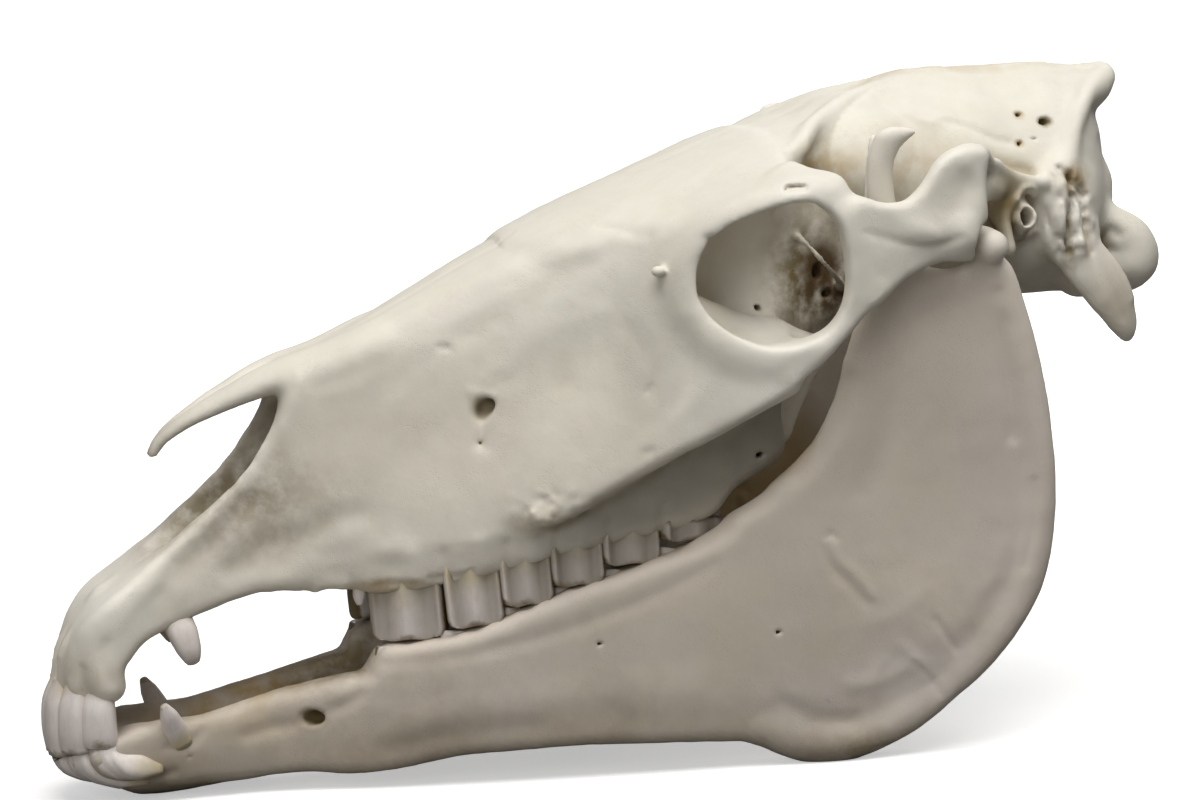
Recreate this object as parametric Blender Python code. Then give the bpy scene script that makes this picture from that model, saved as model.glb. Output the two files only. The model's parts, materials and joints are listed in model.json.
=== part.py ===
"""Horse skull: cranium and lower jaw with their teeth, standing on the lower jaw.

Lengths are in millimetres until the meshes are made.  X runs from the incisors
(minus) to the back of the head (plus), Y across (the animal's left is minus)
and Z up, with the floor at zero.  Each bone is a distance field built on the
half space Y >= 0 from named solids and mirrored, so both sides are alike.
"""
import bpy
import bmesh
import numpy as np
import openvdb

# ------------------------------------------------------------------ sizes
GRID_STEP = 2.4               # spacing of the distance grid
HALF_WIDTH = 112.0            # room kept on each side of the middle plane
FIELD_LOW = (-266.0, 0.0, -6.0)
FIELD_HIGH = (266.0, HALF_WIDTH, 306.0)
JAW_GAP = 1.3                 # air between the two bones where they nearly touch
FLOOR_TRIM = 0.35             # bone taken off to make the resting flats; the model is lowered by it
CRANIUM_TRIANGLES = 6300
MANDIBLE_TRIANGLES = 3500
UPPER_ROW = (("P2", -97.3, 17.0), ("P3", -68.8, 11.4), ("P4", -47.0, 10.4),
             ("M1", -25.8, 10.9), ("M2", -2.7, 12.2), ("M3", 24.2, 14.6))
LOWER_ROW = (("P2", -99.5, 13.5), ("P3", -73.0, 13.0), ("P4", -49.0, 11.0),
             ("M1", -27.2, 10.8), ("M2", -4.5, 12.0), ("M3", 25.0, 17.3))


# ------------------------------------------------------------------ curves
def curve(*knots):
    """Smooth function through (x, value) knots, level outside them."""
    xs = np.array([k[0] for k in knots], float)
    ys = np.array([k[1] for k in knots], float)
    step = np.diff(xs)
    rise = np.diff(ys) / step
    slope = np.zeros(len(xs))
    same = rise[:-1] * rise[1:] > 0
    slope[1:-1] = np.where(same, 0.5 * (rise[:-1] + rise[1:]), 0.0)
    cap = 2.5 * np.minimum(abs(rise[:-1]), abs(rise[1:]))
    slope[1:-1] = np.clip(slope[1:-1], -cap, cap)
    slope[0] = rise[0]
    slope[-1] = rise[-1]

    def value(x):
        x = np.clip(x, xs[0], xs[-1])
        i = np.clip(np.searchsorted(xs, x) - 1, 0, len(xs) - 2)
        t = (x - xs[i]) / step[i]
        a = (1 + 2 * t) * (1 - t) ** 2 * ys[i]
        b = t * (1 - t) ** 2 * step[i] * slope[i]
        c = t * t * (3 - 2 * t) * ys[i + 1]
        d = t * t * (t - 1) * step[i] * slope[i + 1]
        return a + b + c + d
    return value


def bend(points, closed=False, parts=5):
    """Smooth chain of points through the given ones."""
    p = np.array(points, float)
    n = len(p)
    if n < 3:
        return p
    out = []
    for i in range(n if closed else n - 1):
        a = p[(i - 1) % n] if closed or i > 0 else 2 * p[0] - p[1]
        b = p[i]
        c = p[(i + 1) % n]
        d = p[(i + 2) % n] if closed or i < n - 2 else 2 * p[-1] - p[-2]
        for s in range(parts):
            t = s / parts
            out.append(0.5 * (2 * b + (c - a) * t + (2 * a - 5 * b + 4 * c - d) * t * t
                              + (3 * b - a - 3 * c + d) * t ** 3))
    if not closed:
        out.append(p[-1])
    return np.array(out)


def smooth_min(a, b, k):
    if k <= 0:
        return np.minimum(a, b)
    h = np.clip(0.5 + 0.5 * (b - a) / k, 0.0, 1.0)
    return b + (a - b) * h - k * h * (1.0 - h)


def smooth_max(a, b, k):
    return -smooth_min(-a, -b, k)


# ------------------------------------------------------------------ the field
class Field:
    """Signed distance on a grid, negative inside the bone."""

    def __init__(self, low, high, step):
        self.step = step
        self.low = np.array(low, float)
        self.axes = [np.arange(a, b + step, step) for a, b in zip(low, high)]
        self.d = np.full([len(a) for a in self.axes], 60.0, np.float32)

    def window(self, low, high):
        cut = []
        for axis, a, b in zip(self.axes, low, high):
            i = int(np.searchsorted(axis, a))
            j = int(np.searchsorted(axis, b, side="right"))
            cut.append(slice(i, max(i, j)))
        x = self.axes[0][cut[0]][:, None, None]
        y = self.axes[1][cut[1]][None, :, None]
        z = self.axes[2][cut[2]][None, None, :]
        return tuple(cut), x, y, z

    def apply(self, solid, blend, mode):
        low, high, distance = solid
        pad = blend + 2.5 * self.step + 4.0
        cut, x, y, z = self.window(np.array(low) - pad, np.array(high) + pad)
        old = self.d[cut]
        if old.size == 0:
            return
        new = distance(x, y, z)
        if mode == "add":
            self.d[cut] = smooth_min(old, new, blend)
        else:
            self.d[cut] = smooth_max(old, -new, blend)

    def add(self, solid, blend=5.0):
        self.apply(solid, blend, "add")

    def carve(self, solid, blend=2.5):
        self.apply(solid, blend, "carve")


# ------------------------------------------------------------------ solids
def turn(pitch=0.0, yaw=0.0, roll=0.0):
    """Matrix whose rows are the local axes; degrees."""
    p, w, r = np.radians([pitch, yaw, roll])
    about_y = np.array([[np.cos(p), 0, np.sin(p)], [0, 1, 0], [-np.sin(p), 0, np.cos(p)]])
    about_z = np.array([[np.cos(w), np.sin(w), 0], [-np.sin(w), np.cos(w), 0], [0, 0, 1]])
    about_x = np.array([[1, 0, 0], [0, np.cos(r), np.sin(r)], [0, -np.sin(r), np.cos(r)]])
    return about_x @ about_y @ about_z


def local(x, y, z, centre, m):
    dx = x - centre[0]
    dy = y - centre[1]
    dz = z - centre[2]
    return [m[i, 0] * dx + m[i, 1] * dy + m[i, 2] * dz for i in range(3)]


def egg(centre, radii, **angles):
    """Ellipsoid."""
    m = turn(**angles)
    reach = max(radii)
    r = np.array(radii, float)

    def distance(x, y, z):
        a, b, c = local(x, y, z, centre, m)
        k0 = np.sqrt((a / r[0]) ** 2 + (b / r[1]) ** 2 + (c / r[2]) ** 2)
        k1 = np.sqrt((a / r[0] ** 2) ** 2 + (b / r[1] ** 2) ** 2 + (c / r[2] ** 2) ** 2)
        return k0 * (k0 - 1.0) / np.maximum(k1, 1e-6)
    c = np.array(centre, float)
    return c - reach, c + reach, distance


def block(centre, half, edge=3.0, **angles):
    """Box with rounded edges."""
    m = turn(**angles)
    reach = float(np.linalg.norm(half))
    h = np.array(half, float) - edge

    def distance(x, y, z):
        q = [abs(v) - h[i] for i, v in enumerate(local(x, y, z, centre, m))]
        outside = np.sqrt(sum(np.maximum(v, 0.0) ** 2 for v in q))
        inside = np.minimum(np.maximum(np.maximum(q[0], q[1]), q[2]), 0.0)
        return outside + inside - edge
    c = np.array(centre, float)
    return c - reach, c + reach, distance


def rod(path, radii, flat=None, thin=1.0, parts=5):
    """Tube along a smooth path; flattened along the direction flat by the ratio thin."""
    p = bend(path, parts=parts)
    r = np.interp(np.linspace(0, 1, len(p)), np.linspace(0, 1, len(radii)), radii)
    if len(path) == len(radii) and len(path) > 2:
        r = np.interp(np.arange(len(p)) / parts, np.arange(len(radii)), radii)
    n = None
    if flat is not None:
        n = np.array(flat, float)
        n = n / np.linalg.norm(n)
    reach = float(max(r))

    def distance(x, y, z):
        best = None
        for a, b, ra, rb in zip(p[:-1], p[1:], r[:-1], r[1:]):
            s = b - a
            ll = max(float(s @ s), 1e-9)
            dx = x - a[0]
            dy = y - a[1]
            dz = z - a[2]
            t = np.clip((dx * s[0] + dy * s[1] + dz * s[2]) / ll, 0.0, 1.0)
            dx = dx - t * s[0]
            dy = dy - t * s[1]
            dz = dz - t * s[2]
            rr = ra + (rb - ra) * t
            q = dx * dx + dy * dy + dz * dz
            if n is not None:
                on = dx * n[0] + dy * n[1] + dz * n[2]
                q = q - on * on + (on / thin) ** 2
                dist = (np.sqrt(np.maximum(q, 0.0)) - rr) * (0.35 + 0.65 * thin)
            else:
                dist = np.sqrt(q) - rr
            best = dist if best is None else np.minimum(best, dist)
        return best
    return p.min(0) - reach, p.max(0) + reach, distance


def loop_distance(loop, u, v):
    """Signed distance to a closed loop in a plane (negative inside)."""
    best = np.full(np.broadcast(u, v).shape, 1e9)
    inside = np.zeros(best.shape, bool)
    for (au, av), (bu, bv) in zip(loop, np.roll(loop, -1, axis=0)):
        su = bu - au
        sv = bv - av
        t = np.clip(((u - au) * su + (v - av) * sv) / max(su * su + sv * sv, 1e-9), 0, 1)
        best = np.minimum(best, (u - au - t * su) ** 2 + (v - av - t * sv) ** 2)
        if av != bv:
            crossing = (av > v) != (bv > v)
            inside ^= crossing & (u < su * (v - av) / sv + au)
    best = np.sqrt(best)
    return np.where(inside, -best, best)


def plate(loop, middle, half, edge=4.0, smooth=True):
    """Side-view outline (x, z) given a middle surface y(x, z) and half thickness."""
    ring = bend(loop, closed=True, parts=4) if smooth else np.array(loop, float)

    def distance(x, y, z):
        xx = x[:, :, 0]
        zz = z[:, 0, :]
        outline = loop_distance(ring, xx, zz)[:, None, :]
        mid = middle(x, z)
        thick = half(x, z)
        side = abs(y - mid) - thick
        return smooth_max(outline, side, edge)
    low = np.array([ring[:, 0].min(), 0.0, ring[:, 1].min()])
    high = np.array([ring[:, 0].max(), HALF_WIDTH, ring[:, 1].max()])
    return low, high, distance


def flanks(front, back, lines, top, bottom, corner=10.0, sole=6.0):
    """Body between two cross planes; lines are (height curve, half-width curve) upward."""

    def distance(x, y, z):
        xs = x[:, 0, 0]
        zs = z[0, 0, :]
        heights = np.stack([h(xs) for h, w in lines])
        widths = np.stack([w(xs) for h, w in lines])
        w = np.empty((len(xs), len(zs)))
        for i in range(len(xs)):
            order = heights[:, i] + np.arange(len(lines)) * 1e-3
            w[i] = curve(*zip(order, widths[:, i]))(zs)
        if len(xs) > 1 and len(zs) > 1:
            gx, gz = np.gradient(w, xs, zs)
            tilt = 1.0 / np.sqrt(1.0 + np.clip(gx * gx + gz * gz, 0, 4.0))
        else:
            tilt = np.ones_like(w)
        side = (y - w[:, None, :]) * tilt[:, None, :]
        roof = (z - top(x, y)) * 0.88
        floor = (bottom(x, y) - z) * 0.92
        d = smooth_max(smooth_max(side, roof, corner), floor, sole)
        return smooth_max(d, np.maximum(front - x, x - back), 5.0)
    widest = max(float(np.max(w(np.linspace(front, back, 40)))) for h, w in lines)
    high = max(float(np.max(top(np.linspace(front, back, 40), 0.0))), 0.0)
    return np.array([front, 0.0, 0.0]), np.array([back, widest, high]), distance


# ------------------------------------------------------------------ shared lines
top_line = curve((-206, 146), (-187, 167), (-163, 180.5), (-124, 193.5), (-97, 206.5),
                 (-53, 229), (-10, 247.5), (20, 257.5), (45, 266), (75, 276), (105, 284.5),
                 (128, 290.0), (165, 295.0), (205, 296.0), (236, 294.0), (250, 289.0))
top_round = curve((-140, 0.011), (-97, 0.0095), (-53, 0.0068), (-10, 0.0045), (30, 0.0026),
                  (60, 0.0019), (90, 0.0023), (120, 0.0045), (160, 0.009))


def skull_top(x, y):
    return top_line(x) - top_round(x) * y * y


# height and outer half-width of the side of the face, from the tooth sockets upward
socket_height = curve((-150, 91.5), (-134, 92.3), (-124, 90), (-110, 88), (-83, 91), (-59, 96),
                      (-37, 101), (-15, 104.5), (8, 107.5), (36, 114), (46, 124), (57, 130), (66, 137),
                      (70, 140))
socket_width = curve((-150, 25), (-126, 31), (-110, 37.5), (-83, 46), (-59, 53), (-37, 57),
                     (-15, 58.5), (8, 58), (39, 55), (58, 53), (70, 50))
wall_height = curve((-150, 97), (-110, 97), (-83, 99), (-59, 105), (-37, 111.5), (0, 130),
                    (39, 150), (58, 161), (70, 169))
wall_width = curve((-150, 26), (-110, 38), (-83, 47.3), (-59, 55), (-37, 60), (0, 65), (39, 68),
                   (58, 67), (70, 64))
crest_height = curve((-150, 104), (-110, 107), (-59, 114), (-37, 121), (0, 142), (39, 162),
                     (58, 174), (70, 182))
crest_width = curve((-150, 27), (-110, 39), (-83, 48.5), (-59, 58), (-37, 69), (0, 80),
                    (39, 91), (58, 97), (70, 99))
cheek_height = curve((-150, 130), (-110, 145), (-59, 165), (-15, 182), (20, 196), (58, 208))
cheek_width = curve((-150, 28), (-110, 36), (-59, 49), (-15, 67), (20, 82), (58, 95))
brow_height = curve((-150, 178), (-110, 190), (-59, 214), (-15, 229), (20, 240), (58, 254))
brow_width = curve((-150, 23), (-110, 29), (-59, 38), (-15, 54), (20, 74), (58, 94))

# where the biting surfaces of the cheek teeth meet, at their outer edges
bite_line = curve((-118, 58.5), (-97, 60.2), (-83, 63.5), (-68, 67.7), (-59, 71.3), (-43, 78.0),
                  (-30, 82.7), (-18, 87.0), (5, 94.0), (20, 97.8), (30, 102.0), (45, 110.0))
row_middle_upper = curve((-116, 23.0), (-83, 34.0), (-50, 41.5), (-15, 45.5), (15, 45.5),
                         (42, 41.5))
row_middle_lower = curve((-118, 30.0), (-83, 36.0), (-37, 43.0), (8, 47.5), (44, 50.0))


def bite_height(x, y):
    """The grinding faces slope: lower toward the cheek on the upper teeth."""
    return bite_line(x) + 0.22 * (58.0 - np.minimum(y, 60.0)) * 0.8


# ------------------------------------------------------------------ cranium
def cranium_field(low=FIELD_LOW, high=FIELD_HIGH, step=GRID_STEP):
    f = Field(low, high, step)

    def palate(x, y):
        row = row_middle_upper(x)
        inner = np.clip((row - 9.0 - y) / 9.0, 0.0, 1.0)
        return socket_height(x) + 9.0 * inner - 2.5 * (1.0 - inner)

    f.add(flanks(-146.0, 68.0,
                 ((socket_height, socket_width), (wall_height, wall_width),
                  (crest_height, crest_width),
                  (cheek_height, cheek_width), (brow_height, brow_width)),
                 skull_top, palate, corner=12.0, sole=7.0), 0.0)

    # premaxilla and front of the maxilla, from the nasal notch to the incisors
    snout = ((-138, 95), (-138, 177), (-146, 168), (-158, 152), (-171, 137), (-184, 125),
             (-195, 116), (-206, 107.5), (-218, 98.5), (-228, 91.5), (-235, 85), (-241, 77),
             (-245.5, 67), (-247, 58), (-240, 54), (-229, 54), (-221.5, 62), (-213, 71),
             (-205, 75), (-190, 80.5), (-170, 86.5), (-150, 90.5), (-138, 91.5))
    snout_wide = curve((-248, 14), (-244, 22), (-239, 28), (-233, 31.5), (-225, 33),
                       (-210, 30), (-192, 27.5), (-171, 27), (-140, 29))
    f.add(plate(snout, lambda x, z: 0.0 * x * z,
                lambda x, z: snout_wide(x) - 0.03 * abs(z - 95.0), edge=6.0), 8.0)
    # tooth swellings around the incisor sockets
    for angle in (13.0, 39.0, 64.0):
        a = np.radians(angle)
        x0 = -217.5 - 20.0 * np.cos(a)
        y0 = 26.0 * np.sin(a)
        f.add(rod(((x0 - 6.5 * np.cos(a), y0 * 1.04, 54.0), (x0 - 3.0, y0 * 1.0, 66.0),
                   (x0 + 8, y0 * 0.9, 80.0)), (7.6, 7.0, 3.5)), 3.5)
    # body of the premaxilla under the aperture
    f.carve(egg((-214.0, 0.0, 58.0), (15.0, 15.0, 17.0), pitch=-30), 6.0)

    # nasal cavity, open in front between the premaxillae
    f.carve(rod(((-246, 0, 106), (-230, 0, 108), (-205, 0, 120), (-175, 0, 137),
                 (-140, 0, 148), (-95, 0, 157), (-62, 0, 166)),
                (5.0, 8.0, 15.5, 20.5, 22.5, 20.0, 12.0)), 3.0)
    f.carve(rod(((-230, 0, 122), (-205, 0, 132), (-180, 0, 148), (-155, 0, 163)),
                (10.0, 17.5, 20.5, 15.0)), 3.0)
    # nasal bones: a spike over the aperture, thickening backward
    f.add(rod(((-201, 1.5, 150.0), (-196.5, 2.5, 156.0), (-186, 4.5, 163.5), (-170, 7.5, 171.5),
               (-150, 11.0, 179.5), (-128, 13.5, 184.5), (-105, 16.0, 192.0)),
              (2.8, 3.6, 5.0, 7.0, 9.5, 11.5, 13.0), flat=(-0.42, 0.25, 0.87), thin=0.62), 4.0)
    # the floor of the aperture keeps a middle ridge
    f.add(rod(((-225, 0, 88), (-190, 0, 99), (-150, 0, 112), (-100, 0, 128)),
              (4.0, 4.0, 4.5, 5.0)), 7.0)

    # frontal roof over the orbits, narrowing to the braincase
    roof_loop = bend(((-30, 40), (0, 60), (25, 78), (45, 90), (60, 98.5), (74, 101), (85, 98),
                      (86, 90), (80.5, 76), (79.5, 60), (85, 46), (97, 33), (118, 20), (150, 9),
                      (150, -12), (-30, -12)), closed=True, parts=4)

    def roof(x, y, z):
        plan = loop_distance(roof_loop, x[:, :, 0], y[0, :, 0][None, :])[:, :, None]
        above = (z - skull_top(x, y)) * 0.96
        below = skull_top(x, y) - 15.0 - z
        return smooth_max(smooth_max(plan, above, 6.0), below, 5.0)
    f.add((np.array([-30, 0, 200]), np.array([150, 102, 297]), roof), 8.0)

    # inner wall of the orbits and the base of the face behind the palate
    inner_wide = curve((20, 52), (50, 51), (75, 48), (92, 41), (108, 38), (125, 42))
    f.add(plate(((18, 135), (18, 238), (60, 256), (128, 276), (128, 205), (100, 190),
                 (78, 172), (60, 150), (45, 132)),
                lambda x, z: 0.0 * x * z, lambda x, z: inner_wide(x) - 0.07 * abs(z - 235.0),
                edge=12.0), 8.0)
    # braincase
    f.add(egg((160.0, 0.0, 245.0), (66.0, 50.0, 50.0), pitch=3), 8.0)
    f.add(egg((190.0, 0.0, 240.0), (42.0, 51.0, 40.0)), 8.0)
    f.add(egg((200.0, 0.0, 256.0), (34.0, 42.0, 38.0)), 8.0)
    # ridge along the top of the braincase and the lines that run to it
    f.add(rod(((138, 0, 288), (175, 0, 292.5), (212, 0, 292.5), (238, 0, 288)),
              (4.0, 4.0, 4.5, 5.5)), 9.0)
    f.add(rod(((80, 57, 266), (90, 38, 276), (104, 25, 283), (122, 13, 288), (146, 4, 292)),
              (3.6, 2.6, 2.4, 2.4, 2.6)), 6.0)
    f.add(egg((115.0, 8.0, 254.0), (30.0, 41.0, 32.0)), 9.0)

    # maxillary tuber behind the last tooth and pterygoid plates
    f.add(egg((52.0, 43.0, 146.0), (20.0, 15.0, 13.0), pitch=-35), 7.0)
    f.add(plate(((40, 132), (52, 158), (78, 182), (100, 190), (104, 182), (92, 163), (84, 148),
                 (80, 138), (74, 136), (66, 146), (54, 140)),
                lambda x, z: 22.0 + 0.02 * (x - 60) + 0.0 * z, lambda x, z: 3.6 + 0.0 * x * z,
                edge=4.0), 6.0)
    # opening of the nose toward the throat
    f.carve(egg((58.0, 0.0, 152.0), (48.0, 17.0, 17.0), pitch=28), 5.0)
    f.carve(egg((84.0, 0.0, 150.0), (30.0, 15.0, 22.0), pitch=30), 4.0)
    f.add(plate(((40, 165), (60, 175), (100, 194), (112, 196), (100, 182), (66, 160), (46, 152)),
                lambda x, z: 0.0 * x * z, lambda x, z: 2.8 + 0.0 * x * z, edge=3.0), 4.0)

    # outer rim of the orbit and the cheek plate under it
    f.add(plate(((-36, 117), (-41, 120), (-36, 125), (-10, 144), (18, 168), (27, 190),
                 (34, 200), (46, 192), (58, 188), (72, 195), (82, 208), (85, 222), (83, 240),
                 (90, 250), (102, 248), (112, 248.5), (120, 255), (127, 264), (138, 269),
                 (153, 265), (153, 240), (150, 228), (143, 221), (134, 221.5), (122, 219),
                 (108, 213.5), (97, 206.5), (85, 193), (73, 182.5), (56, 169.5), (39, 159),
                 (18, 148.5), (0, 139.5), (-20, 127.5)),
                lambda x, z: zygoma_y(x), lambda x, z: zygoma_half(x), edge=5.0), 5.0)
    f.add(rod(((-42, 62, 120), (-20, 67, 130.5), (5, 74.5, 143), (39, 85, 160.5),
               (60, 93.5, 171.5)), (4.0, 3.6, 3.6, 3.8, 4.4)), 6.0)
    # bar behind the orbit
    f.add(rod(((68, 82, 256), (75, 94, 252), (84, 99, 243), (90, 101, 230), (94, 101, 215)),
              (8.0, 8.5, 8.0, 8.0, 8.5), flat=(0.1, 0.95, 0.3), thin=0.6), 8.0)
    # front and lower rim of the orbit
    f.add(rod(((62, 93, 249), (46, 88, 245), (30, 81, 236), (21, 78, 222), (23, 80, 204),
               (35, 86, 190), (52, 93, 184), (68, 98, 189)),
              (4.5, 5.0, 5.5, 6.0, 6.0, 5.0, 4.0, 4.0)), 12.0)
    f.add(egg((8.0, 77.0, 222.5), (3.0, 3.2, 2.4)), 2.5)

    # joint for the lower jaw: tubercle, socket roof, hook behind it
    f.add(rod(((120, 96, 236), (138, 88, 245), (155, 70, 250), (168, 54, 248)),
              (11.0, 12.0, 12.0, 11.0), flat=(0.25, 0.2, 0.95), thin=0.62), 8.0)
    f.add(rod(((137, 98, 231), (138, 80, 232), (142, 60, 232)), (8.5, 8.0, 7.0)), 7.0)
    f.add(rod(((170, 54, 243), (169, 62, 238)), (8.0, 6.0)), 7.0)
    f.add(rod(((168, 63, 237), (168, 68, 229), (168, 72, 221.5)), (5.5, 4.8, 3.8),
              flat=(1, 0, 0), thin=0.75), 5.0)

    # crest from the arch up over the ear to the nuchal crest
    f.add(rod(((144, 88, 264.5), (155, 80, 262), (167, 68, 254.5), (178, 60, 250), (190, 56, 247.5),
               (199, 52, 250)), (5.0, 4.2, 3.8, 3.6, 3.6, 3.8)), 6.0)
    f.add(rod(((199, 52, 250), (206, 46, 260), (213, 38, 273), (223, 28, 284), (235, 15, 289.0),
               (240, 0, 289.0)), (3.8, 3.8, 3.8, 4.2, 5.0, 5.5)), 6.0)
    # back of the head
    f.add(egg((200.0, 0.0, 238.0), (34.0, 54.0, 40.0)), 9.0)
    f.add(egg((210.0, 0.0, 262.0), (21.0, 38.0, 30.0), pitch=-8), 8.0)
    f.add(egg((225.0, 12.0, 283.5), (12.0, 16.0, 8.5)), 6.0)
    f.add(egg((226.0, 0.0, 238.0), (15.0, 26.0, 18.0)), 7.0)
    f.add(rod(((218, 0, 246), (225, 0, 262), (230, 0, 280)), (9.0, 6.0, 6.0)), 8.0)
    # mastoid part and the ear opening
    f.add(rod(((200, 46, 248), (201, 49, 235), (200, 49, 220)), (9.0, 9.0, 7.5),
              flat=(1, 0.2, 0), thin=0.85), 7.0)
    f.add(rod(((193.5, 50, 249), (195.5, 54.5, 236), (197, 54, 219)), (4.6, 4.6, 3.8)), 3.5)
    f.add(rod(((205, 46, 249), (206, 51, 234), (204, 52, 217)), (4.6, 5.0, 4.6)), 3.5)
    f.add(rod(((174, 45, 231), (177, 56, 232.5), (178.3, 63, 233.5)), (12.0, 8.0, 5.8)), 5.0)
    f.add(egg((182.0, 34.0, 218.0), (17.0, 14.0, 14.0)), 7.0)
    # paracondylar process
    f.add(rod(((204, 46, 228), (210, 49.5, 212), (221, 50, 197), (228.5, 48.5, 184),
               (231, 47, 177.5)), (12.0, 11.5, 11.0, 7.8, 4.4),
              flat=(0.3, 1.0, 0.1), thin=0.5), 6.0)
    # base of the braincase, occipital condyles and the great opening
    f.add(rod(((95, 0, 196), (140, 0, 202), (185, 0, 204), (225, 0, 203)),
              (15.0, 14.0, 14.5, 16.0), flat=(0, 0, 1), thin=0.72), 9.0)
    f.add(rod(((220, 18, 203), (232, 21, 204), (241.5, 24, 208), (240, 25.5, 216.5),
               (227, 25, 227)), (12.0, 13.0, 13.6, 11.4, 8.5)), 5.0)
    f.carve(rod(((262, 0, 212), (246, 0, 217), (226, 0, 221), (204, 0, 222)),
                (15.0, 15.5, 15.0, 9.0)), 4.0)
    f.carve(egg((262.0, 0.0, 198.0), (20.0, 10.0, 18.0)), 5.0)
    # hollow between condyle and paracondylar process
    f.carve(egg((231.0, 42.0, 212.0), (8.0, 6.0, 12.0), pitch=20), 3.0)

    # orbit: a funnel inward from the rim, open behind below the bar
    f.carve(plate(((24, 213), (29, 229), (42, 242), (57, 249), (72, 249.5), (81, 241),
                   (84, 225), (82.5, 207), (76, 196), (64, 190.5), (48, 190), (33, 198)),
                  lambda x, z: 94.0 + 0.0 * x * z, lambda x, z: 17.0 + 0.0 * x * z, edge=3.0), 3.0)
    f.carve(egg((55.0, 78.0, 219.0), (31.5, 36.5, 29.5)), 3.0)
    f.carve(egg((70.0, 66.0, 218.5), (28.0, 21.0, 25.0), yaw=-20), 6.0)
    # temporal hollow between the braincase and the arch
    f.carve(rod(((88, 70, 275), (92, 72, 245), (94, 72, 215), (96, 70, 180)),
                (17.0, 19.0, 20.0, 22.0)), 6.0)
    f.carve(rod(((112, 70, 290), (118, 72, 262), (116, 73, 232), (112, 72, 195)),
                (20.0, 19.0, 18.0, 20.0)), 6.0)
    f.carve(egg((138.0, 78.0, 284.0), (17.0, 15.0, 16.0)), 7.0)
    # hollow behind the root of the arch, in front of the ear
    f.carve(egg((163.5, 95.0, 246.0), (12.0, 18.0, 17.0), yaw=-30), 8.0)
    # floor of the orbit, swelling upward behind the rim
    f.add(rod(((27, 70, 199), (44, 62, 192), (60, 60, 187.5), (78, 64, 181)),
              (10.0, 10.0, 9.5, 8.5)), 6.0)
    # infraorbital opening, ear opening, small openings
    f.carve(rod(((-69, 54, 164), (-63, 46, 165.5), (-54, 40, 168)), (4.6, 4.2, 3.0),
                flat=(-0.9, 0, 0.3), thin=0.65), 3.0)
    f.carve(rod(((179, 74, 235), (178, 60, 233), (175, 48, 231)), (4.2, 4.0, 2.4),
                flat=(1, 0, 0), thin=0.8), 1.5)

    add_upper_teeth(f)
    # pieces of the fossa over the condyle of the jaw
    f.carve(rod(((152.5, 58, 224.5), (152.5, 78, 226.0), (152.5, 100, 226.5)),
                (10.2, 10.6, 10.2)), 2.0)
    return f


zygoma_y = curve((-44, 61), (-10, 70.5), (25, 81.5), (50, 91.5), (75, 98), (95, 101), (115, 100),
                 (135, 95.5), (150, 90), (160, 84))
zygoma_half = curve((-44, 2.0), (-10, 4.2), (25, 5.6), (50, 6.0), (75, 5.5), (95, 5.0),
                    (115, 5.0), (135, 6.5), (160, 8.0))


def add_upper_teeth(f):
    """Incisors, canine, wolf tooth and the six cheek teeth of one side."""
    for angle, wide, drop in ((13.5, 7.6, 0.0), (40.0, 7.8, 0.6), (66.0, 7.6, 2.2)):
        a = np.radians(angle)
        out = np.array([-np.cos(a), np.sin(a), 0.0])
        foot = np.array([-223.0, 0.0, 0.0]) + out * np.array([27.3, 28.5, 0.0])
        across = (out[0], out[1], 0.0)
        path = (foot + out * -9.0 + (0, 0, 72.0), foot + out * -5.0 + (0, 0, 57.0),
                foot + out * 0.4 + (0, 0, 43.0), foot + out * -0.4 + (0, 0, 20.0 + drop))
        f.add(rod(path, (wide - 1.2, wide, wide, wide - 0.8), flat=across, thin=0.78), 2.5)
    f.carve(block((-240.0, 0.0, 10.0), (40.0, 60.0, 14.6), edge=1.0, pitch=14.0), 1.0)
    f.add(rod(((-194.5, 25.0, 82.0), (-195.0, 28.5, 71.5), (-193.2, 31.0, 64.6)),
              (6.6, 6.0, 4.6), flat=(1, 0, 0), thin=0.95), 3.0)
    f.add(egg((-118.5, 27.0, 85.0), (3.4, 3.2, 5.0)), 1.5)
    for name, x0, half in UPPER_ROW:
        y0 = float(row_middle_upper(x0))
        slope = float(row_middle_upper(x0 + 4) - row_middle_upper(x0 - 4)) / 8.0
        yaw = np.degrees(np.arctan(slope))
        deep = 12.6 if name != "P2" else 11.0
        top = float(socket_height(x0)) + 10.0
        low = float(bite_line(x0)) - 8.0
        f.add(block((x0 + 0.3, y0, 0.5 * (top + low)), (half, deep, 0.5 * (top - low) + 3.0),
                    edge=3.2, yaw=yaw, pitch=3.0), 1.6)
        if name == "P2":
            f.add(rod(((x0 - 10.0, y0 - 3.5, top), (x0 - 10.0, y0 - 3.5, low - 2.0)),
                      (5.6, 5.6)), 4.0)
        for off in (-0.5, 0.45):
            gx = x0 + off * half
            gy = y0 + deep + slope * off * half
            f.carve(rod(((gx, gy + 1.4, low - 4), (gx, gy + 1.4, top - 12)), (2.9, 2.6)), 1.5)

    def below_bite(x, y, z):
        row = abs(y - 40.0) - 26.0
        ends = abs(x + 34.0) - 86.0
        return np.maximum(np.maximum(z - bite_height(x, y), row), ends)
    f.carve((np.array([-122, 0, 40]), np.array([54, 66, 112]), below_bite), 0.0)


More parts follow.
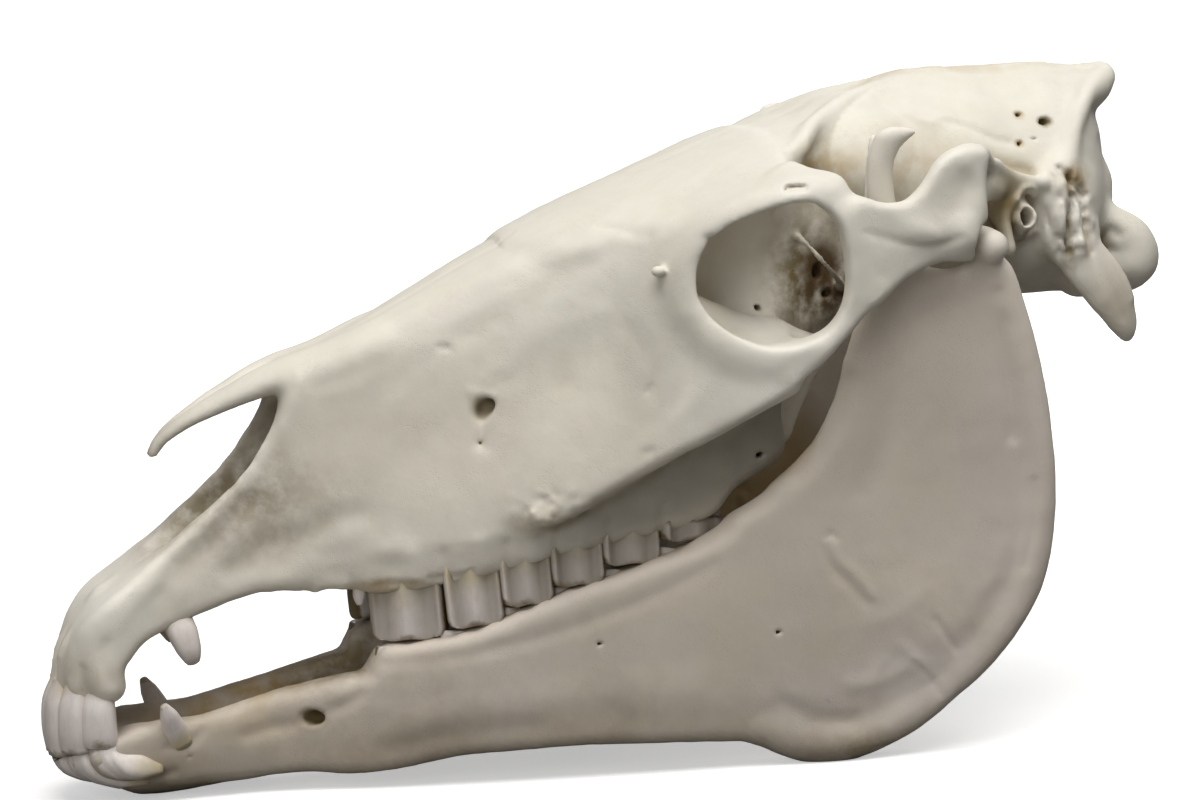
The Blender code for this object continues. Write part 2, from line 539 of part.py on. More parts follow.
# ------------------------------------------------------------------ lower jaw
jaw_foot = curve((-215, 15), (-170, 15.5), (-140, 21), (-113, 28), (-83, 35), (-37, 43.5),
                 (8, 50), (45, 57), (80, 63), (120, 67.5), (180, 70))
jaw_lean = curve((-215, 0.0), (-120, 0.0), (-80, 0.02), (8, 0.03), (60, 0.06), (100, 0.085),
                 (180, 0.085))
jaw_half = curve((-215, 10), (-170, 9.2), (-140, 9.6), (-113, 11.5), (-60, 13.3), (0, 13.2),
                 (35, 11.0), (60, 7.5), (85, 5.4), (180, 5.0))
jaw_sole = curve((-262, 20), (-241, 11.5), (-230, 6.0), (-215, 0.2), (-200, -0.8), (-170, 6.3),
                 (-147, 8.2), (-126, 6.4), (-104, 8.6), (-82, 12.5), (-60, 13.6), (-24, 14.5),
                 (20, 12.5), (47, 10.5), (60, 5.5), (75, 0.6), (90, 0.2), (108, 7.5), (121, 13),
                 (135, 24))


def mandible_field(low=FIELD_LOW, high=FIELD_HIGH, step=GRID_STEP):
    f = Field(low, high, step)

    def middle(x, z):
        return jaw_foot(x) + jaw_lean(x) * (z - 20.0)

    def half(x, z):
        taper = np.clip((z - 60.0) / 60.0, 0.0, 1.0) * np.clip((x - 30.0) / 40.0, 0.0, 1.0)
        return jaw_half(x) - 1.2 * taper

    sole = [(-208, 10), (-188, 7)]
    sole += [(x, float(jaw_sole(x))) for x in (-170, -147, -126, -104, -80, -58,
                                               -24, 20, 47, 60, 75, 90, 107, 121)]
    ramus = [(135, 24.5), (148.5, 35), (162, 49), (174, 66), (180, 82), (183, 100), (183, 122),
             (180, 156), (173.5, 184), (168, 202), (163, 214), (154, 221), (147, 221), (141, 218),
             (132, 217), (124, 220), (117, 230), (113, 246), (111.5, 259), (114.5, 269),
             (122, 276.5), (112, 279.5), (103, 276), (99.5, 262), (99.5, 246), (100.5, 222),
             (97, 196), (90.5, 176), (86, 157), (75, 136), (58, 120), (42, 112)]
    crest = [(36, 105.5), (22, 99), (8, 95), (-9, 89.5), (-30, 84), (-38, 81), (-54, 75),
             (-70, 69), (-83, 66), (-97, 64), (-107, 62.5), (-112, 60), (-115.5, 54.5),
             (-118.5, 50.5), (-127, 49), (-146, 45.5), (-168, 41.5), (-190, 36.5), (-208, 33.5)]
    f.add(plate(sole + ramus + crest, middle, half, edge=7.0), 0.0)
    # thick rim of the ramus and the angle
    f.add(rod(((52, 59.5, 17), (70, 62, 9.3), (86, 64.5, 8.3), (106, 66.5, 13.5), (132, 69, 28),
               (155, 72, 49), (170, 75, 74), (175.5, 78, 104), (175.5, 80.5, 130),
               (171, 82, 160), (164, 82.5, 190), (158, 81, 212)),
              (6.5, 7.6, 8.0, 7.2, 5.8, 5.8, 6.0, 5.8, 5.5, 5.4, 6.0, 7.0)), 6.0)
    # front rim of the ramus, running up to the coronoid process
    f.add(rod(((30, 58, 96), (55, 62, 112), (79, 67, 134), (92, 73, 160), (101, 76, 192),
               (105, 76, 222), (106, 74, 250), (108.5, 71, 272)),
              (6.0, 6.5, 6.0, 5.4, 5.0, 4.6, 3.8, 2.6), flat=(0, 1, 0), thin=0.72), 6.0)
    # condyle and its neck
    f.add(rod(((158, 80, 200), (154, 79, 214), (152.5, 78, 223)), (7.0, 7.5, 7.0),
              flat=(1, 0, 0), thin=0.8), 6.0)
    f.add(rod(((152.5, 63.5, 223.0), (152.5, 78, 225.5), (153.0, 91.5, 225.0)),
              (7.0, 7.6, 7.4)), 4.0)

    # the front: both halves grown together into a spoon that holds the incisors
    spoon_wide = curve((-250, 22), (-244, 28), (-236, 31), (-224, 31), (-207, 27.5),
                       (-185, 24.5), (-165, 24), (-150, 24))
    spoon = ((-238, 19), (-234, 13.5), (-227, 8), (-215, 0.8), (-202, -0.8), (-184, 3.3),
             (-168, 8), (-158, 18), (-160, 28), (-172, 34), (-186, 33), (-200, 33), (-215, 35),
             (-226, 32), (-235, 28), (-239, 24))
    f.add(plate(spoon, lambda x, z: 0.0 * x * z,
                lambda x, z: spoon_wide(x) * np.sqrt(
                    1.0 - 0.97 * np.clip((26.0 - z) / 26.0, 0.0, 1.0) ** 2.2), edge=6.0), 6.0)
    f.carve(egg((-190.0, 0.0, 41.0), (50.0, 15.0, 14.0), pitch=-2), 6.0)
    # space between the two halves behind the joined part
    f.carve(egg((-128.0, 0.0, 30.0), (34.0, 11.0, 40.0)), 5.0)
    # opening for the nerve on the outer side
    f.carve(rod(((-146, 36, 33.5), (-140, 27, 32.5), (-130, 22, 31)), (4.6, 4.2, 2.5),
                flat=(0, 0, 1), thin=0.75), 2.5)
    # muscle hollow on the outer face of the ramus
    f.carve(egg((118.0, 96.0, 118.0), (46.0, 16.5, 66.0), pitch=8, roll=-5), 9.0)
    # hollow on the inner face
    f.carve(egg((128.0, 50.0, 110.0), (44.0, 15.0, 60.0), pitch=8), 9.0)

    add_lower_teeth(f)
    return f


def add_lower_teeth(f):
    """Incisors, canine and the six cheek teeth of one side of the lower jaw."""
    for angle, wide, lift in ((13.0, 7.2, 0.0), (39.0, 7.2, 0.4), (66.0, 6.6, 1.2)):
        a = np.radians(angle)
        out = np.array([-np.cos(a), np.sin(a), 0.0])
        tip = np.array([-222.0, 0.0, 0.0]) + out * np.array([26.5, 27.0, 0.0])
        path = (tip + (30.0 - 5.0 * a, 2.0, 9.0 + 5.5 * a),
                tip + (17.0 - 3.0 * a, 3.6, 12.0 + 5.5 * a),
                tip + (7.0 - a, 3.0, 14.5 + 4.6 * a),
                tip + out * (-0.8, 1.0, 0) + (0, 0, 22.5 + lift + 3.0 * a),
                tip + out * 0.5 + (0, 0, 32.0 + lift + 3.0 * a))
        f.add(rod(path, (3.4, 5.2, 6.0, wide - 0.6, wide - 0.6),
                  flat=(0.45 * out[0], out[1] * 0.4, 0.9), thin=0.9), 2.5)

    def above_bite(x, y, z):
        lean = z - (24.4 + 0.25 * (x + 240.0))
        return np.maximum(-lean, np.maximum(abs(x + 238.0) - 30.0, y - 50.0))
    f.carve((np.array([-268, 0, 10]), np.array([-226, 50, 60]),
             lambda x, y, z: np.maximum(above_bite(x, y, z), x + 226.0)), 1.0)
    f.add(rod(((-199.5, 22.5, 26.0), (-202.0, 26.5, 36.0), (-206.3, 31.0, 44.5)),
              (6.4, 5.0, 2.9)), 3.0)
    for name, x0, half in LOWER_ROW:
        y0 = float(row_middle_lower(x0))
        slope = float(row_middle_lower(x0 + 4) - row_middle_lower(x0 - 4)) / 8.0
        yaw = np.degrees(np.arctan(slope))
        top = float(bite_line(x0)) + 14.0
        low = float(bite_line(x0)) - 14.0
        f.add(block((x0, y0 - 1.5, 0.5 * (top + low)), (half, 8.2, 0.5 * (top - low)), edge=2.6,
                    yaw=yaw, pitch=-6.0), 1.5)

    def over_bite(x, y, z):
        return np.maximum(np.maximum(bite_height(x, y) - 1.6 - z, abs(x + 40.0) - 84.0),
                          y - 61.0 + 0.0 * z)
    f.carve((np.array([-124, 0, 50]), np.array([56, 61, 125]), over_bite), 0.0)


# ------------------------------------------------------------------ meshes
def both_sides(values):
    """Mirror the half grid (whose first layer is the middle plane)."""
    return np.concatenate([values[:, :0:-1, :], values], axis=1)


def make_object(name, field, triangles, material, collection, right_side=None):
    full = both_sides(field.d).astype(np.float32)
    if right_side is not None:
        trim_right(full, field, right_side)
    full = np.pad(full, 2, constant_values=8.0)
    grid = openvdb.FloatGrid()
    grid.copyFromArray(np.clip(full, -8.0, 8.0))
    points, quads = grid.convertToQuads(0.0)
    layers = field.d.shape[1]
    origin = field.low - 2.0 * field.step
    origin[1] = -(layers - 1) * field.step - 2.0 * field.step
    points = points * field.step + origin
    mesh = bpy.data.meshes.new(name)
    mesh.from_pydata((points * 0.001).tolist(), [], quads[:, ::-1].tolist())
    mesh.validate()
    bm = bmesh.new()
    bm.from_mesh(mesh)
    bmesh.ops.recalc_face_normals(bm, faces=bm.faces)
    keep_largest(bm)
    bmesh.ops.triangulate(bm, faces=bm.faces)
    bm.to_mesh(mesh)
    bm.free()
    obj = bpy.data.objects.new(name, mesh)
    collection.objects.link(obj)
    mesh.materials.append(material)
    thin = obj.modifiers.new("Thin out", "DECIMATE")
    thin.ratio = triangles / max(len(mesh.polygons), 1)
    bpy.context.view_layer.update()
    ready = obj.evaluated_get(bpy.context.evaluated_depsgraph_get())
    light = bpy.data.meshes.new_from_object(ready)
    obj.modifiers.remove(thin)
    obj.data = light
    light.name = name
    bpy.data.meshes.remove(mesh)
    stand_on_floor(light, FLOOR_TRIM * 0.001)
    return obj


def stand_on_floor(mesh, height):
    """Take the lowest bone off level, close the cuts and lower the mesh onto the floor."""
    bm = bmesh.new()
    bm.from_mesh(mesh)
    bmesh.ops.bisect_plane(bm, geom=bm.verts[:] + bm.edges[:] + bm.faces[:], dist=1e-6,
                           plane_co=(0, 0, height), plane_no=(0, 0, -1), clear_outer=True)
    rim = [edge for edge in bm.edges if edge.is_boundary]
    if rim:
        bmesh.ops.holes_fill(bm, edges=rim, sides=0)
    bmesh.ops.translate(bm, verts=bm.verts, vec=(0, 0, -height))
    for vertex in bm.verts:
        if abs(vertex.co.z) < 1e-6:
            vertex.co.z = 0.0
    bmesh.ops.triangulate(bm, faces=bm.faces)
    bm.to_mesh(mesh)
    bm.free()


def trim_right(full, field, solid):
    """Carve a solid out of the right side only (full runs from minus to plus Y)."""
    low, high, distance = solid
    cut, x, y, z = field.window(low, high)
    start = full.shape[1] - field.d.shape[1]
    across = slice(start + cut[1].start, start + cut[1].stop)
    part = full[cut[0], across, cut[2]]
    full[cut[0], across, cut[2]] = smooth_max(part, -distance(x, y, z), 2.0)


def keep_largest(bm):
    """Remove loose specks and closed pockets so that one outer surface is left."""
    bm.verts.ensure_lookup_table()
    seen = set()
    groups = []
    for start in bm.verts:
        if start.index in seen:
            continue
        stack = [start]
        seen.add(start.index)
        group = []
        while stack:
            v = stack.pop()
            group.append(v)
            for e in v.link_edges:
                w = e.other_vert(v)
                if w.index not in seen:
                    seen.add(w.index)
                    stack.append(w)
        groups.append(group)
    groups.sort(key=len, reverse=True)
    loose = [v for g in groups[1:] for v in g]
    if loose:
        bmesh.ops.delete(bm, geom=loose, context="VERTS")


def bone_material(name, colour, roughness):
    material = bpy.data.materials.new(name)
    material.use_nodes = True
    shader = material.node_tree.nodes["Principled BSDF"]
    shader.inputs["Base Color"].default_value = (*colour, 1.0)
    shader.inputs["Roughness"].default_value = roughness
    return material


def main():
    for obj in list(bpy.data.objects):
        bpy.data.objects.remove(obj, do_unlink=True)
    collection = bpy.data.collections.new("horse_skull")
    bpy.context.scene.collection.children.link(collection)
    mandible = mandible_field()
    cranium = cranium_field()
    cranium.d = np.maximum(cranium.d, JAW_GAP - mandible.d)
    # the right process below the occiput is a little shorter than the left
    short = block((226.0, 50.0, 172.0), (30.0, 20.0, 17.0), edge=2.0)
    make_object("cranium", cranium, CRANIUM_TRIANGLES,
                bone_material("cranium_bone", (0.80, 0.75, 0.62), 0.6), collection, short)
    make_object("mandible", mandible, MANDIBLE_TRIANGLES,
                bone_material("mandible_bone", (0.74, 0.69, 0.58), 0.6), collection)


main()
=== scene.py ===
"""Horse skull, cranium and lower jaw: the finished surfaces, teeth and stage.

Lengths are in millimetres until the meshes are made.  X runs from the incisors
(minus) to the back of the head (plus), Y across (the animal's left is minus)
and Z up, with the floor at zero.  The bones are distance fields built on the
half space Y >= 0 from named solids and mirrored; the teeth are lofted.
"""
import json
from contextlib import contextmanager

import bmesh
import bpy
import numpy as np
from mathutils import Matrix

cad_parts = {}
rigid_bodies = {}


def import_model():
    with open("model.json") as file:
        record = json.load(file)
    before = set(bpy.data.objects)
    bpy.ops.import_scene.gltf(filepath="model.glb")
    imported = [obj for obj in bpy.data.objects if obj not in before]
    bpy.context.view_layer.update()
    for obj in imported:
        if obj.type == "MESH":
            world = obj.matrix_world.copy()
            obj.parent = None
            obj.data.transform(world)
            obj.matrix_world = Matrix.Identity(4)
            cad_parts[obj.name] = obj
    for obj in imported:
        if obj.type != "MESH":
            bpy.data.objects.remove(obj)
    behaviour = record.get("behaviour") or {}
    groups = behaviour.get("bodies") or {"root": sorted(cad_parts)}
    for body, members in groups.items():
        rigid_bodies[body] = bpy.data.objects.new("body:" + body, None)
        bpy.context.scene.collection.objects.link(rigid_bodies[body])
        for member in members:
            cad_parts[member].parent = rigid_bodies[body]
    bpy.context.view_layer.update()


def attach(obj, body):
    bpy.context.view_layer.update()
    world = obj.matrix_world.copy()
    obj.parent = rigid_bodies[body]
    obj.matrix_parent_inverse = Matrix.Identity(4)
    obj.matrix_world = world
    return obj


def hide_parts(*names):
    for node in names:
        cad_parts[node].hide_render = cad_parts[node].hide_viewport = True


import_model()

import openvdb
from bpy.props import FloatProperty, FloatVectorProperty, IntProperty, PointerProperty
from mathutils import Matrix, Vector

bl_info = {
    "name": "Horse skull",
    "version": (1, 0, 0),
    "blender": (4, 5, 0),
    "location": "3D View > Sidebar > Horse skull",
    "description": "Builds a life-size horse skull with its teeth, bone finishes and a plain stage",
    "category": "Add Mesh",
}

# ------------------------------------------------------------------ sizes
HALF_WIDTH = 112.0            # room kept on each side of the middle plane
FIELD_LOW = (-266.0, 0.0, -6.0)
FIELD_HIGH = (266.0, HALF_WIDTH, 306.0)
COARSE_STEP = 2.4             # grid on which the depth of hollows is measured
JAW_GAP = 1.3                 # air between the two bones where they nearly touch
FLOOR_TRIM = 0.35             # bone taken off to make the resting flats
BONE_REACH = (254.9, 108.0)   # the relief never reaches past these in X and Y
FAR_OUT = 60.0                # value of an empty field
MESH_BAND = 6.0               # distances are levelled beyond this before meshing
FAR_TIP = ((226.0, 50.0, 172.0), (30.0, 20.0, 17.0))   # cut off the right paracondylar process
CREASE, HOLLOW, DEPTH = 2.6, 4.5, 9.0   # radii over which the fullness of the bone is measured
METRE = 0.001                 # from millimetres to metres
MILLIMETRE = 1000.0           # and back
CAMERA_TURN = 14.0            # degrees toward the nose from square-on
CAMERA_RISE = 8.0             # degrees above level
CAMERA_ROLL = 2.335           # degrees
CAMERA_AIM = (-0.0004, 0.0, 0.15764)
CAMERA_LENS = 128.25          # millimetres, at the distance below
CAMERA_AWAY = 1.9
BITE_SLOPE = 0.176            # fall of the grinding faces toward the cheek
FLOOR_SIZE = 20.0             # half side of the floor
FLOOR_DROP = 0.0002           # keeps the floor from lying in the resting flats

# plain cheek teeth for measuring hollows: centre along the row, half length
UPPER_ROW = ((-97.3, 17.0), (-68.8, 11.4), (-47.0, 10.4), (-25.8, 10.9), (-2.7, 12.2),
             (24.2, 14.6))
LOWER_ROW = ((-99.5, 13.5), (-73.0, 13.0), (-49.0, 11.0), (-27.2, 10.8), (-4.5, 12.0),
             (25.0, 17.3))

# cheek teeth: kind, centre along the row, half length, half depth, lean (degrees)
UPPER_CHEEK = (("upper_first", -97.0, 16.9, 10.8, -3.0),
               ("upper", -68.8, 12.8, 12.4, -4.0),
               ("upper", -47.0, 11.7, 12.7, -3.0),
               ("upper", -25.8, 12.1, 12.7, -2.0),
               ("upper", -2.7, 13.5, 12.6, 0.0),
               ("upper_last", 24.6, 15.4, 11.8, 2.0))
LOWER_CHEEK = (("lower_first", -99.5, 13.4, 7.4, -3.0),
               ("lower", -73.0, 13.0, 8.4, -3.0),
               ("lower", -49.0, 11.0, 8.6, -4.0),
               ("lower", -27.2, 10.7, 8.6, -6.0),
               ("lower", -4.5, 11.9, 8.4, -8.0),
               ("lower_last", 25.0, 17.0, 7.4, -10.0))


# ------------------------------------------------------------------ curves
def curve(*knots):
    """Smooth function through (x, value) knots, level outside them."""
    xs = np.array([k[0] for k in knots], float)
    ys = np.array([k[1] for k in knots], float)
    step = np.diff(xs)
    rise = np.diff(ys) / step
    slope = np.zeros(len(xs))
    same = rise[:-1] * rise[1:] > 0
    slope[1:-1] = np.where(same, 0.5 * (rise[:-1] + rise[1:]), 0.0)
    cap = 2.5 * np.minimum(abs(rise[:-1]), abs(rise[1:]))
    slope[1:-1] = np.clip(slope[1:-1], -cap, cap)
    slope[0] = rise[0]
    slope[-1] = rise[-1]

    def value(x):
        x = np.clip(x, xs[0], xs[-1])
        i = np.clip(np.searchsorted(xs, x) - 1, 0, len(xs) - 2)
        t = (x - xs[i]) / step[i]
        a = (1 + 2 * t) * (1 - t) ** 2 * ys[i]
        b = t * (1 - t) ** 2 * step[i] * slope[i]
        c = t * t * (3 - 2 * t) * ys[i + 1]
        d = t * t * (t - 1) * step[i] * slope[i + 1]
        return a + b + c + d
    return value


def bend(points, closed=False, parts=5):
    """Smooth chain of points through the given ones."""
    p = np.array(points, float)
    n = len(p)
    if n < 3:
        return p
    out = []
    for i in range(n if closed else n - 1):
        a = p[(i - 1) % n] if closed or i > 0 else 2 * p[0] - p[1]
        b = p[i]
        c = p[(i + 1) % n]
        d = p[(i + 2) % n] if closed or i < n - 2 else 2 * p[-1] - p[-2]
        for s in range(parts):
            t = s / parts
            out.append(0.5 * (2 * b + (c - a) * t + (2 * a - 5 * b + 4 * c - d) * t * t
                              + (3 * b - a - 3 * c + d) * t ** 3))
    if not closed:
        out.append(p[-1])
    return np.array(out)


def smooth_min(a, b, k):
    """Lower of two distances, rounded over the width k."""
    if k <= 0:
        return np.minimum(a, b)
    h = np.clip(0.5 + 0.5 * (b - a) / k, 0.0, 1.0)
    return b + (a - b) * h - k * h * (1.0 - h)


def smooth_max(a, b, k):
    """Higher of two distances, rounded over the width k."""
    return -smooth_min(-a, -b, k)


# ------------------------------------------------------------------ the field
class Field:
    """Signed distance on a grid, negative inside the bone."""

    def __init__(self, low, high, step):
        self.step = step
        self.low = np.array(low, float)
        self.axes = [np.arange(a, b + step, step) for a, b in zip(low, high)]
        self.d = np.full([len(a) for a in self.axes], FAR_OUT, np.float32)

    def window(self, low, high):
        """The part of the grid inside a box, with its coordinates."""
        cut = []
        for axis, a, b in zip(self.axes, low, high):
            i = int(np.searchsorted(axis, a))
            j = int(np.searchsorted(axis, b, side="right"))
            cut.append(slice(i, max(i, j)))
        x = self.axes[0][cut[0]][:, None, None]
        y = self.axes[1][cut[1]][None, :, None]
        z = self.axes[2][cut[2]][None, None, :]
        return tuple(cut), x, y, z

    def apply(self, solid, blend, mode):
        low, high, distance = solid
        pad = blend + 2.5 * self.step + 4.0   # beyond this the solid changes nothing meshed
        cut, x, y, z = self.window(np.array(low) - pad, np.array(high) + pad)
        old = self.d[cut]
        if old.size == 0:
            return
        new = distance(x, y, z)
        if mode == "add":
            self.d[cut] = smooth_min(old, new, blend)
        else:
            self.d[cut] = smooth_max(old, -new, blend)

    def add(self, solid, blend=5.0):
        self.apply(solid, blend, "add")

    def carve(self, solid, blend=2.5):
        self.apply(solid, blend, "carve")


# ------------------------------------------------------------------ solids
def turn(pitch=0.0, yaw=0.0, roll=0.0):
    """Matrix whose rows are the local axes; degrees."""
    p, w, r = np.radians([pitch, yaw, roll])
    about_y = np.array([[np.cos(p), 0, np.sin(p)], [0, 1, 0], [-np.sin(p), 0, np.cos(p)]])
    about_z = np.array([[np.cos(w), np.sin(w), 0], [-np.sin(w), np.cos(w), 0], [0, 0, 1]])
    about_x = np.array([[1, 0, 0], [0, np.cos(r), np.sin(r)], [0, -np.sin(r), np.cos(r)]])
    return about_x @ about_y @ about_z


def local(x, y, z, centre, m):
    """Coordinates along the turned axes."""
    dx = x - centre[0]
    dy = y - centre[1]
    dz = z - centre[2]
    return [m[i, 0] * dx + m[i, 1] * dy + m[i, 2] * dz for i in range(3)]


def egg(centre, radii, **angles):
    """Ellipsoid."""
    m = turn(**angles)
    reach = max(radii)
    r = np.array(radii, float)

    def distance(x, y, z):
        a, b, c = local(x, y, z, centre, m)
        k0 = np.sqrt((a / r[0]) ** 2 + (b / r[1]) ** 2 + (c / r[2]) ** 2)
        k1 = np.sqrt((a / r[0] ** 2) ** 2 + (b / r[1] ** 2) ** 2 + (c / r[2] ** 2) ** 2)
        return k0 * (k0 - 1.0) / np.maximum(k1, 1e-6)
    c = np.array(centre, float)
    return c - reach, c + reach, distance


def block(centre, half, edge=3.0, **angles):
    """Box with rounded edges."""
    m = turn(**angles)
    reach = float(np.linalg.norm(half))
    h = np.array(half, float) - edge

    def distance(x, y, z):
        q = [abs(v) - h[i] for i, v in enumerate(local(x, y, z, centre, m))]
        outside = np.sqrt(sum(np.maximum(v, 0.0) ** 2 for v in q))
        inside = np.minimum(np.maximum(np.maximum(q[0], q[1]), q[2]), 0.0)
        return outside + inside - edge
    c = np.array(centre, float)
    return c - reach, c + reach, distance


def rod(path, radii, flat=None, thin=1.0, parts=5):
    """Tube along a smooth path; flattened along the direction flat by the ratio thin."""
    p = bend(path, parts=parts)
    r = np.interp(np.linspace(0, 1, len(p)), np.linspace(0, 1, len(radii)), radii)
    if len(path) == len(radii) and len(path) > 2:
        r = np.interp(np.arange(len(p)) / parts, np.arange(len(radii)), radii)
    n = None
    if flat is not None:
        n = np.array(flat, float)
        n = n / np.linalg.norm(n)
    reach = float(max(r))

    def distance(x, y, z):
        best = None
        for a, b, ra, rb in zip(p[:-1], p[1:], r[:-1], r[1:]):
            s = b - a
            ll = max(float(s @ s), 1e-9)
            dx = x - a[0]
            dy = y - a[1]
            dz = z - a[2]
            t = np.clip((dx * s[0] + dy * s[1] + dz * s[2]) / ll, 0.0, 1.0)
            dx = dx - t * s[0]
            dy = dy - t * s[1]
            dz = dz - t * s[2]
            rr = ra + (rb - ra) * t
            q = dx * dx + dy * dy + dz * dz
            if n is not None:
                on = dx * n[0] + dy * n[1] + dz * n[2]
                q = q - on * on + (on / thin) ** 2
                # a flattened tube's distance comes out too long, so it is shortened
                dist = (np.sqrt(np.maximum(q, 0.0)) - rr) * (0.35 + 0.65 * thin)
            else:
                dist = np.sqrt(q) - rr
            best = dist if best is None else np.minimum(best, dist)
        return best
    return p.min(0) - reach, p.max(0) + reach, distance


def loop_distance(loop, u, v):
    """Signed distance to a closed loop in a plane (negative inside)."""
    best = np.full(np.broadcast(u, v).shape, 1e9)
    inside = np.zeros(best.shape, bool)
    for (au, av), (bu, bv) in zip(loop, np.roll(loop, -1, axis=0)):
        su = bu - au
        sv = bv - av
        t = np.clip(((u - au) * su + (v - av) * sv) / max(su * su + sv * sv, 1e-9), 0, 1)
        best = np.minimum(best, (u - au - t * su) ** 2 + (v - av - t * sv) ** 2)
        if av != bv:
            crossing = (av > v) != (bv > v)
            inside ^= crossing & (u < su * (v - av) / sv + au)
    best = np.sqrt(best)
    return np.where(inside, -best, best)


def constant(value):
    """A middle surface or thickness that is the same everywhere."""
    return lambda x, z: value + 0.0 * x * z


def plate(loop, middle, half, edge=4.0):
    """Side-view outline (x, z) given a middle surface y(x, z) and half thickness."""
    ring = bend(loop, closed=True, parts=4)

    def distance(x, y, z):
        xx = x[:, :, 0]
        zz = z[:, 0, :]
        outline = loop_distance(ring, xx, zz)[:, None, :]
        mid = middle(x, z)
        thick = half(x, z)
        side = abs(y - mid) - thick
        return smooth_max(outline, side, edge)
    low = np.array([ring[:, 0].min(), 0.0, ring[:, 1].min()])
    high = np.array([ring[:, 0].max(), HALF_WIDTH, ring[:, 1].max()])
    return low, high, distance


def flanks(front, back, lines, top, bottom, corner=10.0, sole=6.0):
    """Body between two cross planes; lines are (height curve, half-width curve) upward."""

    def distance(x, y, z):
        xs = x[:, 0, 0]
        zs = z[0, 0, :]
        heights = np.stack([h(xs) for h, w in lines])
        widths = np.stack([w(xs) for h, w in lines])
        w = np.empty((len(xs), len(zs)))
        for i in range(len(xs)):
            order = heights[:, i] + np.arange(len(lines)) * 1e-3
            w[i] = curve(*zip(order, widths[:, i]))(zs)
        if len(xs) > 1 and len(zs) > 1:
            gx, gz = np.gradient(w, xs, zs)
            tilt = 1.0 / np.sqrt(1.0 + np.clip(gx * gx + gz * gz, 0, 4.0))
        else:
            tilt = np.ones_like(w)
        side = (y - w[:, None, :]) * tilt[:, None, :]
        # heights over the sloping roof and floor, shortened to distances
        roof = (z - top(x, y)) * 0.88
        floor = (bottom(x, y) - z) * 0.92
        d = smooth_max(smooth_max(side, roof, corner), floor, sole)
        return smooth_max(d, np.maximum(front - x, x - back), 5.0)
    widest = max(float(np.max(w(np.linspace(front, back, 40)))) for h, w in lines)
    high = max(float(np.max(top(np.linspace(front, back, 40), 0.0))), 0.0)
    return np.array([front, 0.0, 0.0]), np.array([back, widest, high]), distance


# ------------------------------------------------------------------ shared lines
top_line = curve((-206, 146), (-187, 167), (-163, 180.5), (-124, 193.5), (-97, 206.5),
                 (-53, 229), (-10, 247.5), (20, 257.5), (45, 266), (75, 276), (105, 284.5),
                 (128, 290.0), (165, 295.0), (205, 296.0), (236, 294.0), (250, 289.0))
top_round = curve((-140, 0.011), (-97, 0.0095), (-53, 0.0068), (-10, 0.0045), (30, 0.0026),
                  (60, 0.0019), (90, 0.0023), (120, 0.0045), (160, 0.009))


def skull_top(x, y):
    """Height of the roof of the skull, rounded off to both sides."""
    return top_line(x) - top_round(x) * y * y


# height and outer half-width of the side of the face, from the tooth sockets upward
socket_height = curve((-150, 91.5), (-134, 92.3), (-124, 90), (-110, 88), (-83, 91), (-59, 96),
                      (-37, 101), (-15, 104.5), (8, 107.5), (36, 114), (46, 124), (57, 130),
                      (66, 137), (70, 140))
socket_width = curve((-150, 25), (-126, 31), (-110, 37.5), (-83, 46), (-59, 53), (-37, 57),
                     (-15, 58.5), (8, 58), (39, 55), (58, 53), (70, 50))
wall_height = curve((-150, 97), (-110, 97), (-83, 99), (-59, 105), (-37, 111.5), (0, 130),
                    (39, 150), (58, 161), (70, 169))
wall_width = curve((-150, 26), (-110, 38), (-83, 47.3), (-59, 55), (-37, 60), (0, 65), (39, 68),
                   (58, 67), (70, 64))
crest_height = curve((-150, 104), (-110, 107), (-59, 114), (-37, 121), (0, 142), (39, 162),
                     (58, 174), (70, 182))
crest_width = curve((-150, 27), (-110, 39), (-83, 48.5), (-59, 58), (-37, 69), (0, 80),
                    (39, 91), (58, 97), (70, 99))
cheek_height = curve((-150, 130), (-110, 145), (-59, 165), (-15, 182), (20, 196), (58, 208))
cheek_width = curve((-150, 28), (-110, 36), (-59, 49), (-15, 67), (20, 82), (58, 95))
brow_height = curve((-150, 178), (-110, 190), (-59, 214), (-15, 229), (20, 240), (58, 254))
brow_width = curve((-150, 23), (-110, 29), (-59, 38), (-15, 54), (20, 74), (58, 94))

# where the biting surfaces of the cheek teeth meet, at their outer edges
bite_line = curve((-118, 58.5), (-97, 60.2), (-83, 63.5), (-68, 67.7), (-59, 71.3), (-43, 78.0),
                  (-30, 82.7), (-18, 87.0), (5, 94.0), (20, 97.8), (30, 102.0), (45, 110.0))
row_middle_upper = curve((-116, 23.0), (-83, 34.0), (-50, 41.5), (-15, 45.5), (15, 45.5),
                         (42, 41.5))
row_middle_lower = curve((-118, 30.0), (-83, 36.0), (-37, 43.0), (8, 47.5), (44, 50.0))


def bite_height(x, y):
    """Where the grinding faces meet; they fall toward the cheek."""
    return bite_line(x) + BITE_SLOPE * (58.0 - np.minimum(y, 60.0))


# ------------------------------------------------------------------ cranium
# cheek plate and arch: distance from the middle plane and half thickness
zygoma_y = curve((-44, 61), (-10, 70.5), (25, 81.5), (50, 91.5), (75, 98), (95, 101), (115, 100),
                 (135, 95.5), (150, 90), (160, 84))
zygoma_half = curve((-44, 2.0), (-10, 4.2), (25, 5.6), (50, 6.0), (75, 5.5), (95, 5.0),
                    (115, 5.0), (135, 6.5), (160, 8.0))


